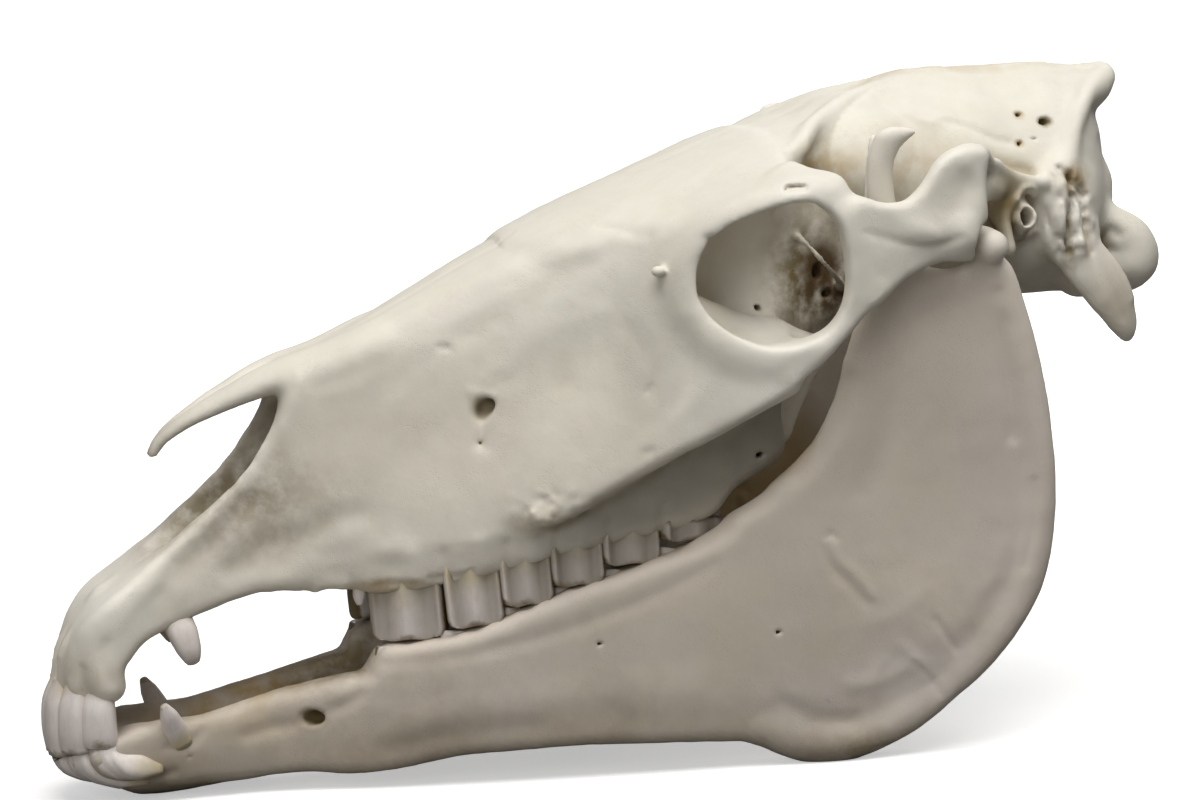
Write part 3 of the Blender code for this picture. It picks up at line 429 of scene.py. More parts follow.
def cranium_field(step, teeth=False):
    """The cranium's large forms; its plain teeth are wanted for measuring hollows only."""
    f = Field(FIELD_LOW, FIELD_HIGH, step)

    def palate(x, y):
        row = row_middle_upper(x)
        inner = np.clip((row - 9.0 - y) / 9.0, 0.0, 1.0)
        return socket_height(x) + 9.0 * inner - 2.5 * (1.0 - inner)

    f.add(flanks(-146.0, 68.0,
                 ((socket_height, socket_width), (wall_height, wall_width),
                  (crest_height, crest_width),
                  (cheek_height, cheek_width), (brow_height, brow_width)),
                 skull_top, palate, corner=12.0, sole=7.0), 0.0)

    # premaxilla and front of the maxilla, from the nasal notch to the incisors
    snout = ((-138, 95), (-138, 177), (-146, 168), (-158, 152), (-171, 137), (-184, 125),
             (-195, 116), (-206, 107.5), (-218, 98.5), (-228, 91.5), (-235, 85), (-241, 77),
             (-245.5, 67), (-247, 58), (-240, 54), (-229, 54), (-221.5, 62), (-213, 71),
             (-205, 75), (-190, 80.5), (-170, 86.5), (-150, 90.5), (-138, 91.5))
    snout_wide = curve((-248, 14), (-244, 22), (-239, 28), (-233, 31.5), (-225, 33),
                       (-210, 30), (-192, 27.5), (-171, 27), (-140, 29))
    f.add(plate(snout, constant(0.0),
                lambda x, z: snout_wide(x) - 0.03 * abs(z - 95.0), edge=6.0), 8.0)
    # tooth swellings around the incisor sockets
    for angle in (13.0, 39.0, 64.0):
        a = np.radians(angle)
        x0 = -217.5 - 20.0 * np.cos(a)
        y0 = 26.0 * np.sin(a)
        f.add(rod(((x0 - 6.5 * np.cos(a), y0 * 1.04, 54.0), (x0 - 3.0, y0 * 1.0, 66.0),
                   (x0 + 8, y0 * 0.9, 80.0)), (7.6, 7.0, 3.5)), 3.5)
    # hollow of the palate behind the incisors
    f.carve(egg((-214.0, 0.0, 58.0), (15.0, 15.0, 17.0), pitch=-30), 6.0)

    # nasal cavity, open in front between the premaxillae
    f.carve(rod(((-246, 0, 106), (-230, 0, 108), (-205, 0, 120), (-175, 0, 137),
                 (-140, 0, 148), (-95, 0, 157), (-62, 0, 166)),
                (5.0, 8.0, 15.5, 20.5, 22.5, 20.0, 12.0)), 3.0)
    f.carve(rod(((-230, 0, 122), (-205, 0, 132), (-180, 0, 148), (-155, 0, 163)),
                (10.0, 17.5, 20.5, 15.0)), 3.0)
    # nasal bones: a spike over the aperture, thickening backward
    f.add(rod(((-201, 1.5, 150.0), (-196.5, 2.5, 156.0), (-186, 4.5, 163.5), (-170, 7.5, 171.5),
               (-150, 11.0, 179.5), (-128, 13.5, 184.5), (-105, 16.0, 192.0)),
              (2.8, 3.6, 5.0, 7.0, 9.5, 11.5, 13.0), flat=(-0.42, 0.25, 0.87), thin=0.62), 4.0)
    # the floor of the aperture keeps a middle ridge
    f.add(rod(((-225, 0, 88), (-190, 0, 99), (-150, 0, 112), (-100, 0, 128)),
              (4.0, 4.0, 4.5, 5.0)), 7.0)

    # frontal roof over the orbits, narrowing to the braincase
    roof_loop = bend(((-30, 40), (0, 60), (25, 78), (45, 90), (60, 98.5), (74, 101), (85, 98),
                      (86, 90), (80.5, 76), (79.5, 60), (85, 46), (97, 33), (118, 20), (150, 9),
                      (150, -12), (-30, -12)), closed=True, parts=4)

    def roof(x, y, z):
        plan = loop_distance(roof_loop, x[:, :, 0], y[0, :, 0][None, :])[:, :, None]
        above = (z - skull_top(x, y)) * 0.96
        below = skull_top(x, y) - 15.0 - z
        return smooth_max(smooth_max(plan, above, 6.0), below, 5.0)
    f.add((np.array([-30, 0, 200]), np.array([150, 102, 297]), roof), 8.0)

    # inner wall of the orbits and the base of the face behind the palate
    inner_wide = curve((20, 52), (50, 51), (75, 48), (92, 41), (108, 38), (125, 42))
    f.add(plate(((18, 135), (18, 238), (60, 256), (128, 276), (128, 205), (100, 190),
                 (78, 172), (60, 150), (45, 132)),
                constant(0.0), lambda x, z: inner_wide(x) - 0.07 * abs(z - 235.0),
                edge=12.0), 8.0)
    # braincase
    f.add(egg((160.0, 0.0, 245.0), (66.0, 50.0, 50.0), pitch=3), 8.0)
    f.add(egg((190.0, 0.0, 240.0), (42.0, 51.0, 40.0)), 8.0)
    f.add(egg((200.0, 0.0, 256.0), (34.0, 42.0, 38.0)), 8.0)
    # ridge along the top of the braincase and the lines that run to it
    f.add(rod(((138, 0, 288), (175, 0, 292.5), (212, 0, 292.5), (238, 0, 288)),
              (4.0, 4.0, 4.5, 5.5)), 9.0)
    f.add(rod(((80, 57, 266), (90, 38, 276), (104, 25, 283), (122, 13, 288), (146, 4, 292)),
              (3.6, 2.6, 2.4, 2.4, 2.6)), 6.0)
    f.add(egg((115.0, 8.0, 254.0), (30.0, 41.0, 32.0)), 9.0)

    # maxillary tuber behind the last tooth and pterygoid plates
    f.add(egg((52.0, 43.0, 146.0), (20.0, 15.0, 13.0), pitch=-35), 7.0)
    f.add(plate(((40, 132), (52, 158), (78, 182), (100, 190), (104, 182), (92, 163), (84, 148),
                 (80, 138), (74, 136), (66, 146), (54, 140)),
                lambda x, z: 22.0 + 0.02 * (x - 60) + 0.0 * z, constant(3.6),
                edge=4.0), 6.0)
    # opening of the nose toward the throat, and the thin wall that parts it
    f.carve(egg((58.0, 0.0, 152.0), (48.0, 17.0, 17.0), pitch=28), 5.0)
    f.carve(egg((84.0, 0.0, 150.0), (30.0, 15.0, 22.0), pitch=30), 4.0)
    f.add(plate(((40, 165), (60, 175), (100, 194), (112, 196), (100, 182), (66, 160), (46, 152)),
                constant(0.0), constant(2.8), edge=3.0), 4.0)

    # outer rim of the orbit and the cheek plate under it
    f.add(plate(((-36, 117), (-41, 120), (-36, 125), (-10, 144), (18, 168), (27, 190),
                 (34, 200), (46, 192), (58, 188), (72, 195), (82, 208), (85, 222), (83, 240),
                 (90, 250), (102, 248), (112, 248.5), (120, 255), (127, 264), (138, 269),
                 (153, 265), (153, 240), (150, 228), (143, 221), (134, 221.5), (122, 219),
                 (108, 213.5), (97, 206.5), (85, 193), (73, 182.5), (56, 169.5), (39, 159),
                 (18, 148.5), (0, 139.5), (-20, 127.5)),
                lambda x, z: zygoma_y(x), lambda x, z: zygoma_half(x), edge=5.0), 5.0)
    f.add(rod(((-42, 62, 120), (-20, 67, 130.5), (5, 74.5, 143), (39, 85, 160.5),
               (60, 93.5, 171.5)), (4.0, 3.6, 3.6, 3.8, 4.4)), 6.0)
    # bar behind the orbit
    f.add(rod(((68, 82, 256), (75, 94, 252), (84, 99, 243), (90, 101, 230), (94, 101, 215)),
              (8.0, 8.5, 8.0, 8.0, 8.5), flat=(0.1, 0.95, 0.3), thin=0.6), 8.0)
    # front and lower rim of the orbit
    f.add(rod(((62, 93, 249), (46, 88, 245), (30, 81, 236), (21, 78, 222), (23, 80, 204),
               (35, 86, 190), (52, 93, 184), (68, 98, 189)),
              (4.5, 5.0, 5.5, 6.0, 6.0, 5.0, 4.0, 4.0)), 12.0)
    f.add(egg((8.0, 77.0, 222.5), (3.0, 3.2, 2.4)), 2.5)

    # joint for the lower jaw: tubercle, socket roof, hook behind it
    f.add(rod(((120, 96, 236), (138, 88, 245), (155, 70, 250), (168, 54, 248)),
              (11.0, 12.0, 12.0, 11.0), flat=(0.25, 0.2, 0.95), thin=0.62), 8.0)
    f.add(rod(((137, 98, 231), (138, 80, 232), (142, 60, 232)), (8.5, 8.0, 7.0)), 7.0)
    f.add(rod(((170, 54, 243), (169, 62, 238)), (8.0, 6.0)), 7.0)
    f.add(rod(((168, 63, 237), (168, 68, 229), (168, 72, 221.5)), (5.5, 4.8, 3.8),
              flat=(1, 0, 0), thin=0.75), 5.0)

    # crest from the arch up over the ear to the nuchal crest
    f.add(rod(((144, 88, 264.5), (155, 80, 262), (167, 68, 254.5), (178, 60, 250), (190, 56, 247.5),
               (199, 52, 250)), (5.0, 4.2, 3.8, 3.6, 3.6, 3.8)), 6.0)
    f.add(rod(((199, 52, 250), (206, 46, 260), (213, 38, 273), (223, 28, 284), (235, 15, 289.0),
               (240, 0, 289.0)), (3.8, 3.8, 3.8, 4.2, 5.0, 5.5)), 6.0)
    # back of the head
    f.add(egg((200.0, 0.0, 238.0), (34.0, 54.0, 40.0)), 9.0)
    f.add(egg((210.0, 0.0, 262.0), (21.0, 38.0, 30.0), pitch=-8), 8.0)
    f.add(egg((225.0, 12.0, 283.5), (12.0, 16.0, 8.5)), 6.0)
    f.add(egg((226.0, 0.0, 238.0), (15.0, 26.0, 18.0)), 7.0)
    f.add(rod(((218, 0, 246), (225, 0, 262), (230, 0, 280)), (9.0, 6.0, 6.0)), 8.0)
    # mastoid part and the ear opening
    f.add(rod(((200, 46, 248), (201, 49, 235), (200, 49, 220)), (9.0, 9.0, 7.5),
              flat=(1, 0.2, 0), thin=0.85), 7.0)
    f.add(rod(((193.5, 50, 249), (195.5, 54.5, 236), (197, 54, 219)), (4.6, 4.6, 3.8)), 3.5)
    f.add(rod(((205, 46, 249), (206, 51, 234), (204, 52, 217)), (4.6, 5.0, 4.6)), 3.5)
    f.add(rod(((174, 45, 231), (177, 56, 232.5), (178.3, 63, 233.5)), (12.0, 8.0, 5.8)), 5.0)
    f.add(egg((182.0, 34.0, 218.0), (17.0, 14.0, 14.0)), 7.0)
    # paracondylar process
    f.add(rod(((204, 46, 228), (210, 49.5, 212), (221, 50, 197), (228.5, 48.5, 184),
               (231, 47, 177.5)), (12.0, 11.5, 11.0, 7.8, 4.4),
              flat=(0.3, 1.0, 0.1), thin=0.5), 6.0)
    # base of the braincase, occipital condyles and the great opening
    f.add(rod(((95, 0, 196), (140, 0, 202), (185, 0, 204), (225, 0, 203)),
              (15.0, 14.0, 14.5, 16.0), flat=(0, 0, 1), thin=0.72), 9.0)
    f.add(rod(((220, 18, 203), (232, 21, 204), (241.5, 24, 208), (240, 25.5, 216.5),
               (227, 25, 227)), (12.0, 13.0, 13.6, 11.4, 8.5)), 5.0)
    f.carve(rod(((262, 0, 212), (246, 0, 217), (226, 0, 221), (204, 0, 222)),
                (15.0, 15.5, 15.0, 9.0)), 4.0)
    f.carve(egg((262.0, 0.0, 198.0), (20.0, 10.0, 18.0)), 5.0)
    # hollow between condyle and paracondylar process
    f.carve(egg((231.0, 42.0, 212.0), (8.0, 6.0, 12.0), pitch=20), 3.0)

    # orbit: a funnel inward from the rim, open behind below the bar
    f.carve(plate(((24, 213), (29, 229), (42, 242), (57, 249), (72, 249.5), (81, 241),
                   (84, 225), (82.5, 207), (76, 196), (64, 190.5), (48, 190), (33, 198)),
                  constant(94.0), constant(17.0), edge=3.0), 3.0)
    f.carve(egg((55.0, 78.0, 219.0), (31.5, 36.5, 29.5)), 3.0)
    f.carve(egg((70.0, 66.0, 218.5), (28.0, 21.0, 25.0), yaw=-20), 6.0)
    # temporal hollow between the braincase and the arch
    f.carve(rod(((88, 70, 275), (92, 72, 245), (94, 72, 215), (96, 70, 180)),
                (17.0, 19.0, 20.0, 22.0)), 6.0)
    f.carve(rod(((112, 70, 290), (118, 72, 262), (116, 73, 232), (112, 72, 195)),
                (20.0, 19.0, 18.0, 20.0)), 6.0)
    f.carve(egg((138.0, 78.0, 284.0), (17.0, 15.0, 16.0)), 7.0)
    # hollow behind the root of the arch, in front of the ear
    f.carve(egg((163.5, 95.0, 246.0), (12.0, 18.0, 17.0), yaw=-30), 8.0)
    # floor of the orbit, swelling upward behind the rim
    f.add(rod(((27, 70, 199), (44, 62, 192), (60, 60, 187.5), (78, 64, 181)),
              (10.0, 10.0, 9.5, 8.5)), 6.0)
    # infraorbital opening, ear opening, small openings
    f.carve(rod(((-69, 54, 164), (-63, 46, 165.5), (-54, 40, 168)), (4.6, 4.2, 3.0),
                flat=(-0.9, 0, 0.3), thin=0.65), 3.0)
    f.carve(rod(((179, 74, 235), (178, 60, 233), (175, 48, 231)), (4.2, 4.0, 2.4),
                flat=(1, 0, 0), thin=0.8), 1.5)

    if teeth:
        add_upper_teeth(f)
    # room for the condyle of the jaw
    f.carve(rod(((152.5, 58, 224.5), (152.5, 78, 226.0), (152.5, 100, 226.5)),
                (10.2, 10.6, 10.2)), 2.0)
    return f


def ray(angle):
    """Direction outward over the arch of the incisors, straight forward at zero degrees."""
    a = np.radians(angle)
    return np.array([-np.cos(a), np.sin(a), 0.0])


def upper_foot(out):
    """Place of an upper incisor on its arch."""
    return np.array([-223.0, 0.0, 0.0]) + out * np.array([27.3, 28.5, 0.0])


def row_slope(row, x, reach):
    """How fast a row of teeth runs outward at x."""
    return float(row(x + reach) - row(x - reach)) / (2.0 * reach)


def add_upper_teeth(f):
    """Incisors, canine, wolf tooth and the six cheek teeth of one side."""
    for angle, wide, drop in ((13.5, 7.6, 0.0), (40.0, 7.8, 0.6), (66.0, 7.6, 2.2)):
        out = ray(angle)
        foot = upper_foot(out)
        path = (foot + out * -9.0 + (0, 0, 72.0), foot + out * -5.0 + (0, 0, 57.0),
                foot + out * 0.4 + (0, 0, 43.0), foot + out * -0.4 + (0, 0, 20.0 + drop))
        f.add(rod(path, (wide - 1.2, wide, wide, wide - 0.8), flat=out, thin=0.78), 2.5)
    f.carve(block((-240.0, 0.0, 10.0), (40.0, 60.0, 14.6), edge=1.0, pitch=14.0), 1.0)
    f.add(rod(((-194.5, 25.0, 82.0), (-195.0, 28.5, 71.5), (-193.2, 31.0, 64.6)),
              (6.6, 6.0, 4.6), flat=(1, 0, 0), thin=0.95), 3.0)
    f.add(egg((-118.5, 27.0, 85.0), (3.4, 3.2, 5.0)), 1.5)
    for i, (x0, half) in enumerate(UPPER_ROW):
        y0 = float(row_middle_upper(x0))
        slope = row_slope(row_middle_upper, x0, 4)
        yaw = np.degrees(np.arctan(slope))
        deep = 12.6 if i else 11.0
        top = float(socket_height(x0)) + 10.0
        low = float(bite_line(x0)) - 8.0
        f.add(block((x0 + 0.3, y0, 0.5 * (top + low)), (half, deep, 0.5 * (top - low) + 3.0),
                    edge=3.2, yaw=yaw, pitch=3.0), 1.6)
        if i == 0:
            f.add(rod(((x0 - 10.0, y0 - 3.5, top), (x0 - 10.0, y0 - 3.5, low - 2.0)),
                      (5.6, 5.6)), 4.0)
        for off in (-0.5, 0.45):
            gx = x0 + off * half
            gy = y0 + deep + slope * off * half
            f.carve(rod(((gx, gy + 1.4, low - 4), (gx, gy + 1.4, top - 12)), (2.9, 2.6)), 1.5)

    def below_bite(x, y, z):
        row = abs(y - 40.0) - 26.0
        ends = abs(x + 34.0) - 86.0
        return np.maximum(np.maximum(z - bite_height(x, y), row), ends)
    f.carve((np.array([-122, 0, 40]), np.array([54, 66, 112]), below_bite), 0.0)


# ------------------------------------------------------------------ lower jaw
jaw_foot = curve((-215, 15), (-170, 15.5), (-140, 21), (-113, 28), (-83, 35), (-37, 43.5),
                 (8, 50), (45, 57), (80, 63), (120, 67.5), (180, 70))
jaw_lean = curve((-215, 0.0), (-120, 0.0), (-80, 0.02), (8, 0.03), (60, 0.06), (100, 0.085),
                 (180, 0.085))
jaw_half = curve((-215, 10), (-170, 9.2), (-140, 9.6), (-113, 11.5), (-60, 13.3), (0, 13.2),
                 (35, 11.0), (60, 7.5), (85, 5.4), (180, 5.0))
jaw_sole = curve((-262, 20), (-241, 11.5), (-230, 6.0), (-215, 0.2), (-200, -0.8), (-170, 6.3),
                 (-147, 8.2), (-126, 6.4), (-104, 8.6), (-82, 12.5), (-60, 13.6), (-24, 14.5),
                 (20, 12.5), (47, 10.5), (60, 5.5), (75, 0.6), (90, 0.2), (108, 7.5), (121, 13),
                 (135, 24))


def mandible_field(step, teeth=False):
    """The lower jaw's large forms; plain teeth as in the cranium."""
    f = Field(FIELD_LOW, FIELD_HIGH, step)

    def middle(x, z):
        return jaw_foot(x) + jaw_lean(x) * (z - 20.0)

    def half(x, z):
        taper = np.clip((z - 60.0) / 60.0, 0.0, 1.0) * np.clip((x - 30.0) / 40.0, 0.0, 1.0)
        return jaw_half(x) - 1.2 * taper

    sole = [(-208, 10), (-188, 7)]
    sole += [(x, float(jaw_sole(x))) for x in (-170, -147, -126, -104, -80, -58,
                                               -24, 20, 47, 60, 75, 90, 107, 121)]
    ramus = [(135, 24.5), (148.5, 35), (162, 49), (174, 66), (180, 82), (183, 100), (183, 122),
             (180, 156), (173.5, 184), (168, 202), (163, 214), (154, 221), (147, 221), (141, 218),
             (132, 217), (124, 220), (117, 230), (113, 246), (111.5, 259), (114.5, 269),
             (122, 276.5), (112, 279.5), (103, 276), (99.5, 262), (99.5, 246), (100.5, 222),
             (97, 196), (90.5, 176), (86, 157), (75, 136), (58, 120), (42, 112)]
    crest = [(36, 105.5), (22, 99), (8, 95), (-9, 89.5), (-30, 84), (-38, 81), (-54, 75),
             (-70, 69), (-83, 66), (-97, 64), (-107, 62.5), (-112, 60), (-115.5, 54.5),
             (-118.5, 50.5), (-127, 49), (-146, 45.5), (-168, 41.5), (-190, 36.5), (-208, 33.5)]
    f.add(plate(sole + ramus + crest, middle, half, edge=7.0), 0.0)
    # thick rim of the ramus and the angle
    f.add(rod(((52, 59.5, 17), (70, 62, 9.3), (86, 64.5, 8.3), (106, 66.5, 13.5), (132, 69, 28),
               (155, 72, 49), (170, 75, 74), (175.5, 78, 104), (175.5, 80.5, 130),
               (171, 82, 160), (164, 82.5, 190), (158, 81, 212)),
              (6.5, 7.6, 8.0, 7.2, 5.8, 5.8, 6.0, 5.8, 5.5, 5.4, 6.0, 7.0)), 6.0)
    # front rim of the ramus, running up to the coronoid process
    f.add(rod(((30, 58, 96), (55, 62, 112), (79, 67, 134), (92, 73, 160), (101, 76, 192),
               (105, 76, 222), (106, 74, 250), (108.5, 71, 272)),
              (6.0, 6.5, 6.0, 5.4, 5.0, 4.6, 3.8, 2.6), flat=(0, 1, 0), thin=0.72), 6.0)
    # condyle and its neck
    f.add(rod(((158, 80, 200), (154, 79, 214), (152.5, 78, 223)), (7.0, 7.5, 7.0),
              flat=(1, 0, 0), thin=0.8), 6.0)
    f.add(rod(((152.5, 63.5, 223.0), (152.5, 78, 225.5), (153.0, 91.5, 225.0)),
              (7.0, 7.6, 7.4)), 4.0)

    # the front: both halves grown together into a spoon that holds the incisors
    spoon_wide = curve((-250, 22), (-244, 28), (-236, 31), (-224, 31), (-207, 27.5),
                       (-185, 24.5), (-165, 24), (-150, 24))
    spoon = ((-238, 19), (-234, 13.5), (-227, 8), (-215, 0.8), (-202, -0.8), (-184, 3.3),
             (-168, 8), (-158, 18), (-160, 28), (-172, 34), (-186, 33), (-200, 33), (-215, 35),
             (-226, 32), (-235, 28), (-239, 24))
    f.add(plate(spoon, constant(0.0),
                lambda x, z: spoon_wide(x) * np.sqrt(
                    1.0 - 0.97 * np.clip((26.0 - z) / 26.0, 0.0, 1.0) ** 2.2), edge=6.0), 6.0)
    f.carve(egg((-190.0, 0.0, 41.0), (50.0, 15.0, 14.0), pitch=-2), 6.0)
    # space between the two halves behind the joined part
    f.carve(egg((-128.0, 0.0, 30.0), (34.0, 11.0, 40.0)), 5.0)
    # opening for the nerve on the outer side
    f.carve(rod(((-146, 36, 33.5), (-140, 27, 32.5), (-130, 22, 31)), (4.6, 4.2, 2.5),
                flat=(0, 0, 1), thin=0.75), 2.5)
    # muscle hollow on the outer face of the ramus
    f.carve(egg((118.0, 96.0, 118.0), (46.0, 16.5, 66.0), pitch=8, roll=-5), 9.0)
    # hollow on the inner face
    f.carve(egg((128.0, 50.0, 110.0), (44.0, 15.0, 60.0), pitch=8), 9.0)

    if teeth:
        add_lower_teeth(f)
    return f


def add_lower_teeth(f):
    """Incisors, canine and the six cheek teeth of one side of the lower jaw."""
    for angle, wide, lift in ((13.0, 7.2, 0.0), (39.0, 7.2, 0.4), (66.0, 6.6, 1.2)):
        a = np.radians(angle)
        out = ray(angle)
        tip = np.array([-222.0, 0.0, 0.0]) + out * np.array([26.5, 27.0, 0.0])
        path = (tip + (30.0 - 5.0 * a, 2.0, 9.0 + 5.5 * a),
                tip + (17.0 - 3.0 * a, 3.6, 12.0 + 5.5 * a),
                tip + (7.0 - a, 3.0, 14.5 + 4.6 * a),
                tip + out * (-0.8, 1.0, 0) + (0, 0, 22.5 + lift + 3.0 * a),
                tip + out * 0.5 + (0, 0, 32.0 + lift + 3.0 * a))
        f.add(rod(path, (3.4, 5.2, 6.0, wide - 0.6, wide - 0.6),
                  flat=(0.45 * out[0], out[1] * 0.4, 0.9), thin=0.9), 2.5)

    def above_bite(x, y, z):
        lean = z - (24.4 + 0.25 * (x + 240.0))
        return np.maximum(-lean, np.maximum(abs(x + 238.0) - 30.0, y - 50.0))
    f.carve((np.array([-268, 0, 10]), np.array([-226, 50, 60]),
             lambda x, y, z: np.maximum(above_bite(x, y, z), x + 226.0)), 1.0)
    f.add(rod(((-199.5, 22.5, 26.0), (-202.0, 26.5, 36.0), (-206.3, 31.0, 44.5)),
              (6.4, 5.0, 2.9)), 3.0)
    for x0, half in LOWER_ROW:
        y0 = float(row_middle_lower(x0))
        yaw = np.degrees(np.arctan(row_slope(row_middle_lower, x0, 4)))
        top = float(bite_line(x0)) + 14.0
        low = float(bite_line(x0)) - 14.0
        f.add(block((x0, y0 - 1.5, 0.5 * (top + low)), (half, 8.2, 0.5 * (top - low)), edge=2.6,
                    yaw=yaw, pitch=-6.0), 1.5)

    def over_bite(x, y, z):
        return np.maximum(np.maximum(bite_height(x, y) - 1.6 - z, abs(x + 40.0) - 84.0),
                          y - 61.0 + 0.0 * z)
    f.carve((np.array([-124, 0, 50]), np.array([56, 61, 125]), over_bite), 0.0)


# ------------------------------------------------------------------ fine relief
def line_map(p, u, v):
    """Distance from a chain of points on a plane, over a grid."""
    best = np.full(np.broadcast(u, v).shape, 1e9)
    for a, b in zip(p[:-1], p[1:]):
        s = b - a
        t = np.clip(((u - a[0]) * s[0] + (v - a[1]) * s[1]) / max(float(s @ s), 1e-9), 0, 1)
        best = np.minimum(best, (u - a[0] - t * s[0]) ** 2 + (v - a[1] - t * s[1]) ** 2)
    return np.sqrt(best)


def engrave(f, path, width, depth, y_low=0.0, y_high=HALF_WIDTH, view="side"):
    """Press a soft line into the bone as drawn from the side or from above (minus raises it)."""
    p = bend(path)
    pad = 3.0 * width
    low = p.min(0) - pad
    high = p.max(0) + pad
    if view == "side":
        cut, x, y, z = f.window((low[0], y_low, low[1]), (high[0], y_high, high[1]))
    else:
        cut, x, y, z = f.window((low[0], low[1], y_low), (high[0], high[1], y_high))
    if f.d[cut].size == 0:
        return
    if view == "side":
        r = line_map(p, x[:, :, 0], z[:, 0, :])[:, None, :]
    else:
        r = line_map(p, x[:, :, 0], y[:, :, 0].reshape(1, -1))[:, :, None]
    f.d[cut] += (depth * np.exp(-(r / width) ** 2)).astype(np.float32)


def lattice_noise(axes, cell, seed):
    """Smooth noise over a grid, between about -1 and 1."""
    rng = np.random.default_rng(seed)
    spots = [(a - a[0]) / cell for a in axes]
    values = rng.uniform(-1.0, 1.0, [int(s[-1]) + 2 for s in spots]).astype(np.float32)
    for axis, s in enumerate(spots):
        i = s.astype(int)
        t = s - i
        t = (t * t * (3 - 2 * t)).astype(np.float32)
        shape = [1, 1, 1]
        shape[axis] = len(s)
        t = t.reshape(shape)
        values = np.take(values, i, axis) * (1 - t) + np.take(values, i + 1, axis) * t
    return values


SCATTER = np.array([73856093, 19349663, 83492791, 7919, 1274126177, 668265263])   # primes
TOP = 0x7fffffff              # highest scattered number


def point_noise(p, cell, seed):
    """Smooth noise at points, between about -1 and 1."""
    q = p / cell
    i = np.floor(q).astype(np.int64)
    t = q - i
    t = t * t * (3 - 2 * t)
    total = np.zeros(len(p))
    for corner in range(8):
        o = np.array([corner & 1, corner >> 1 & 1, corner >> 2 & 1])
        key = (i + o) @ SCATTER[:3] + seed * SCATTER[3]
        key = (key ^ (key >> 13)) * SCATTER[4] & TOP
        key = (key ^ (key >> 15)) * SCATTER[5] & TOP
        w = np.prod(np.where(o, t, 1 - t), axis=1)
        total += w * (key / (TOP // 2) - 1.0)
    return total


def pit(f, place, radii):
    """Small sharp-edged hole or dent."""
    f.carve(egg(place, radii), 0.6)


def roughen(f, centre, radii, coarse, fine, seed):
    """Broken, crumbly skin that fades out over an ellipsoid."""
    x, y, z = np.meshgrid(*f.axes, indexing="ij", sparse=True)
    reach = ((x - centre[0]) / radii[0]) ** 2 + ((y - centre[1]) / radii[1]) ** 2 \
        + ((z - centre[2]) / radii[2]) ** 2
    f.d += np.exp(-reach * reach) * (coarse * lattice_noise(f.axes, 6.0, seed)
                                     + fine * lattice_noise(f.axes, 2.6, seed + 1))


def uneven(f, height, *waves):
    """Uneven skin from several noises, each (share, size of a cell, seed)."""
    f.d += height * sum(share * lattice_noise(f.axes, cell, seed) for share, cell, seed in waves)


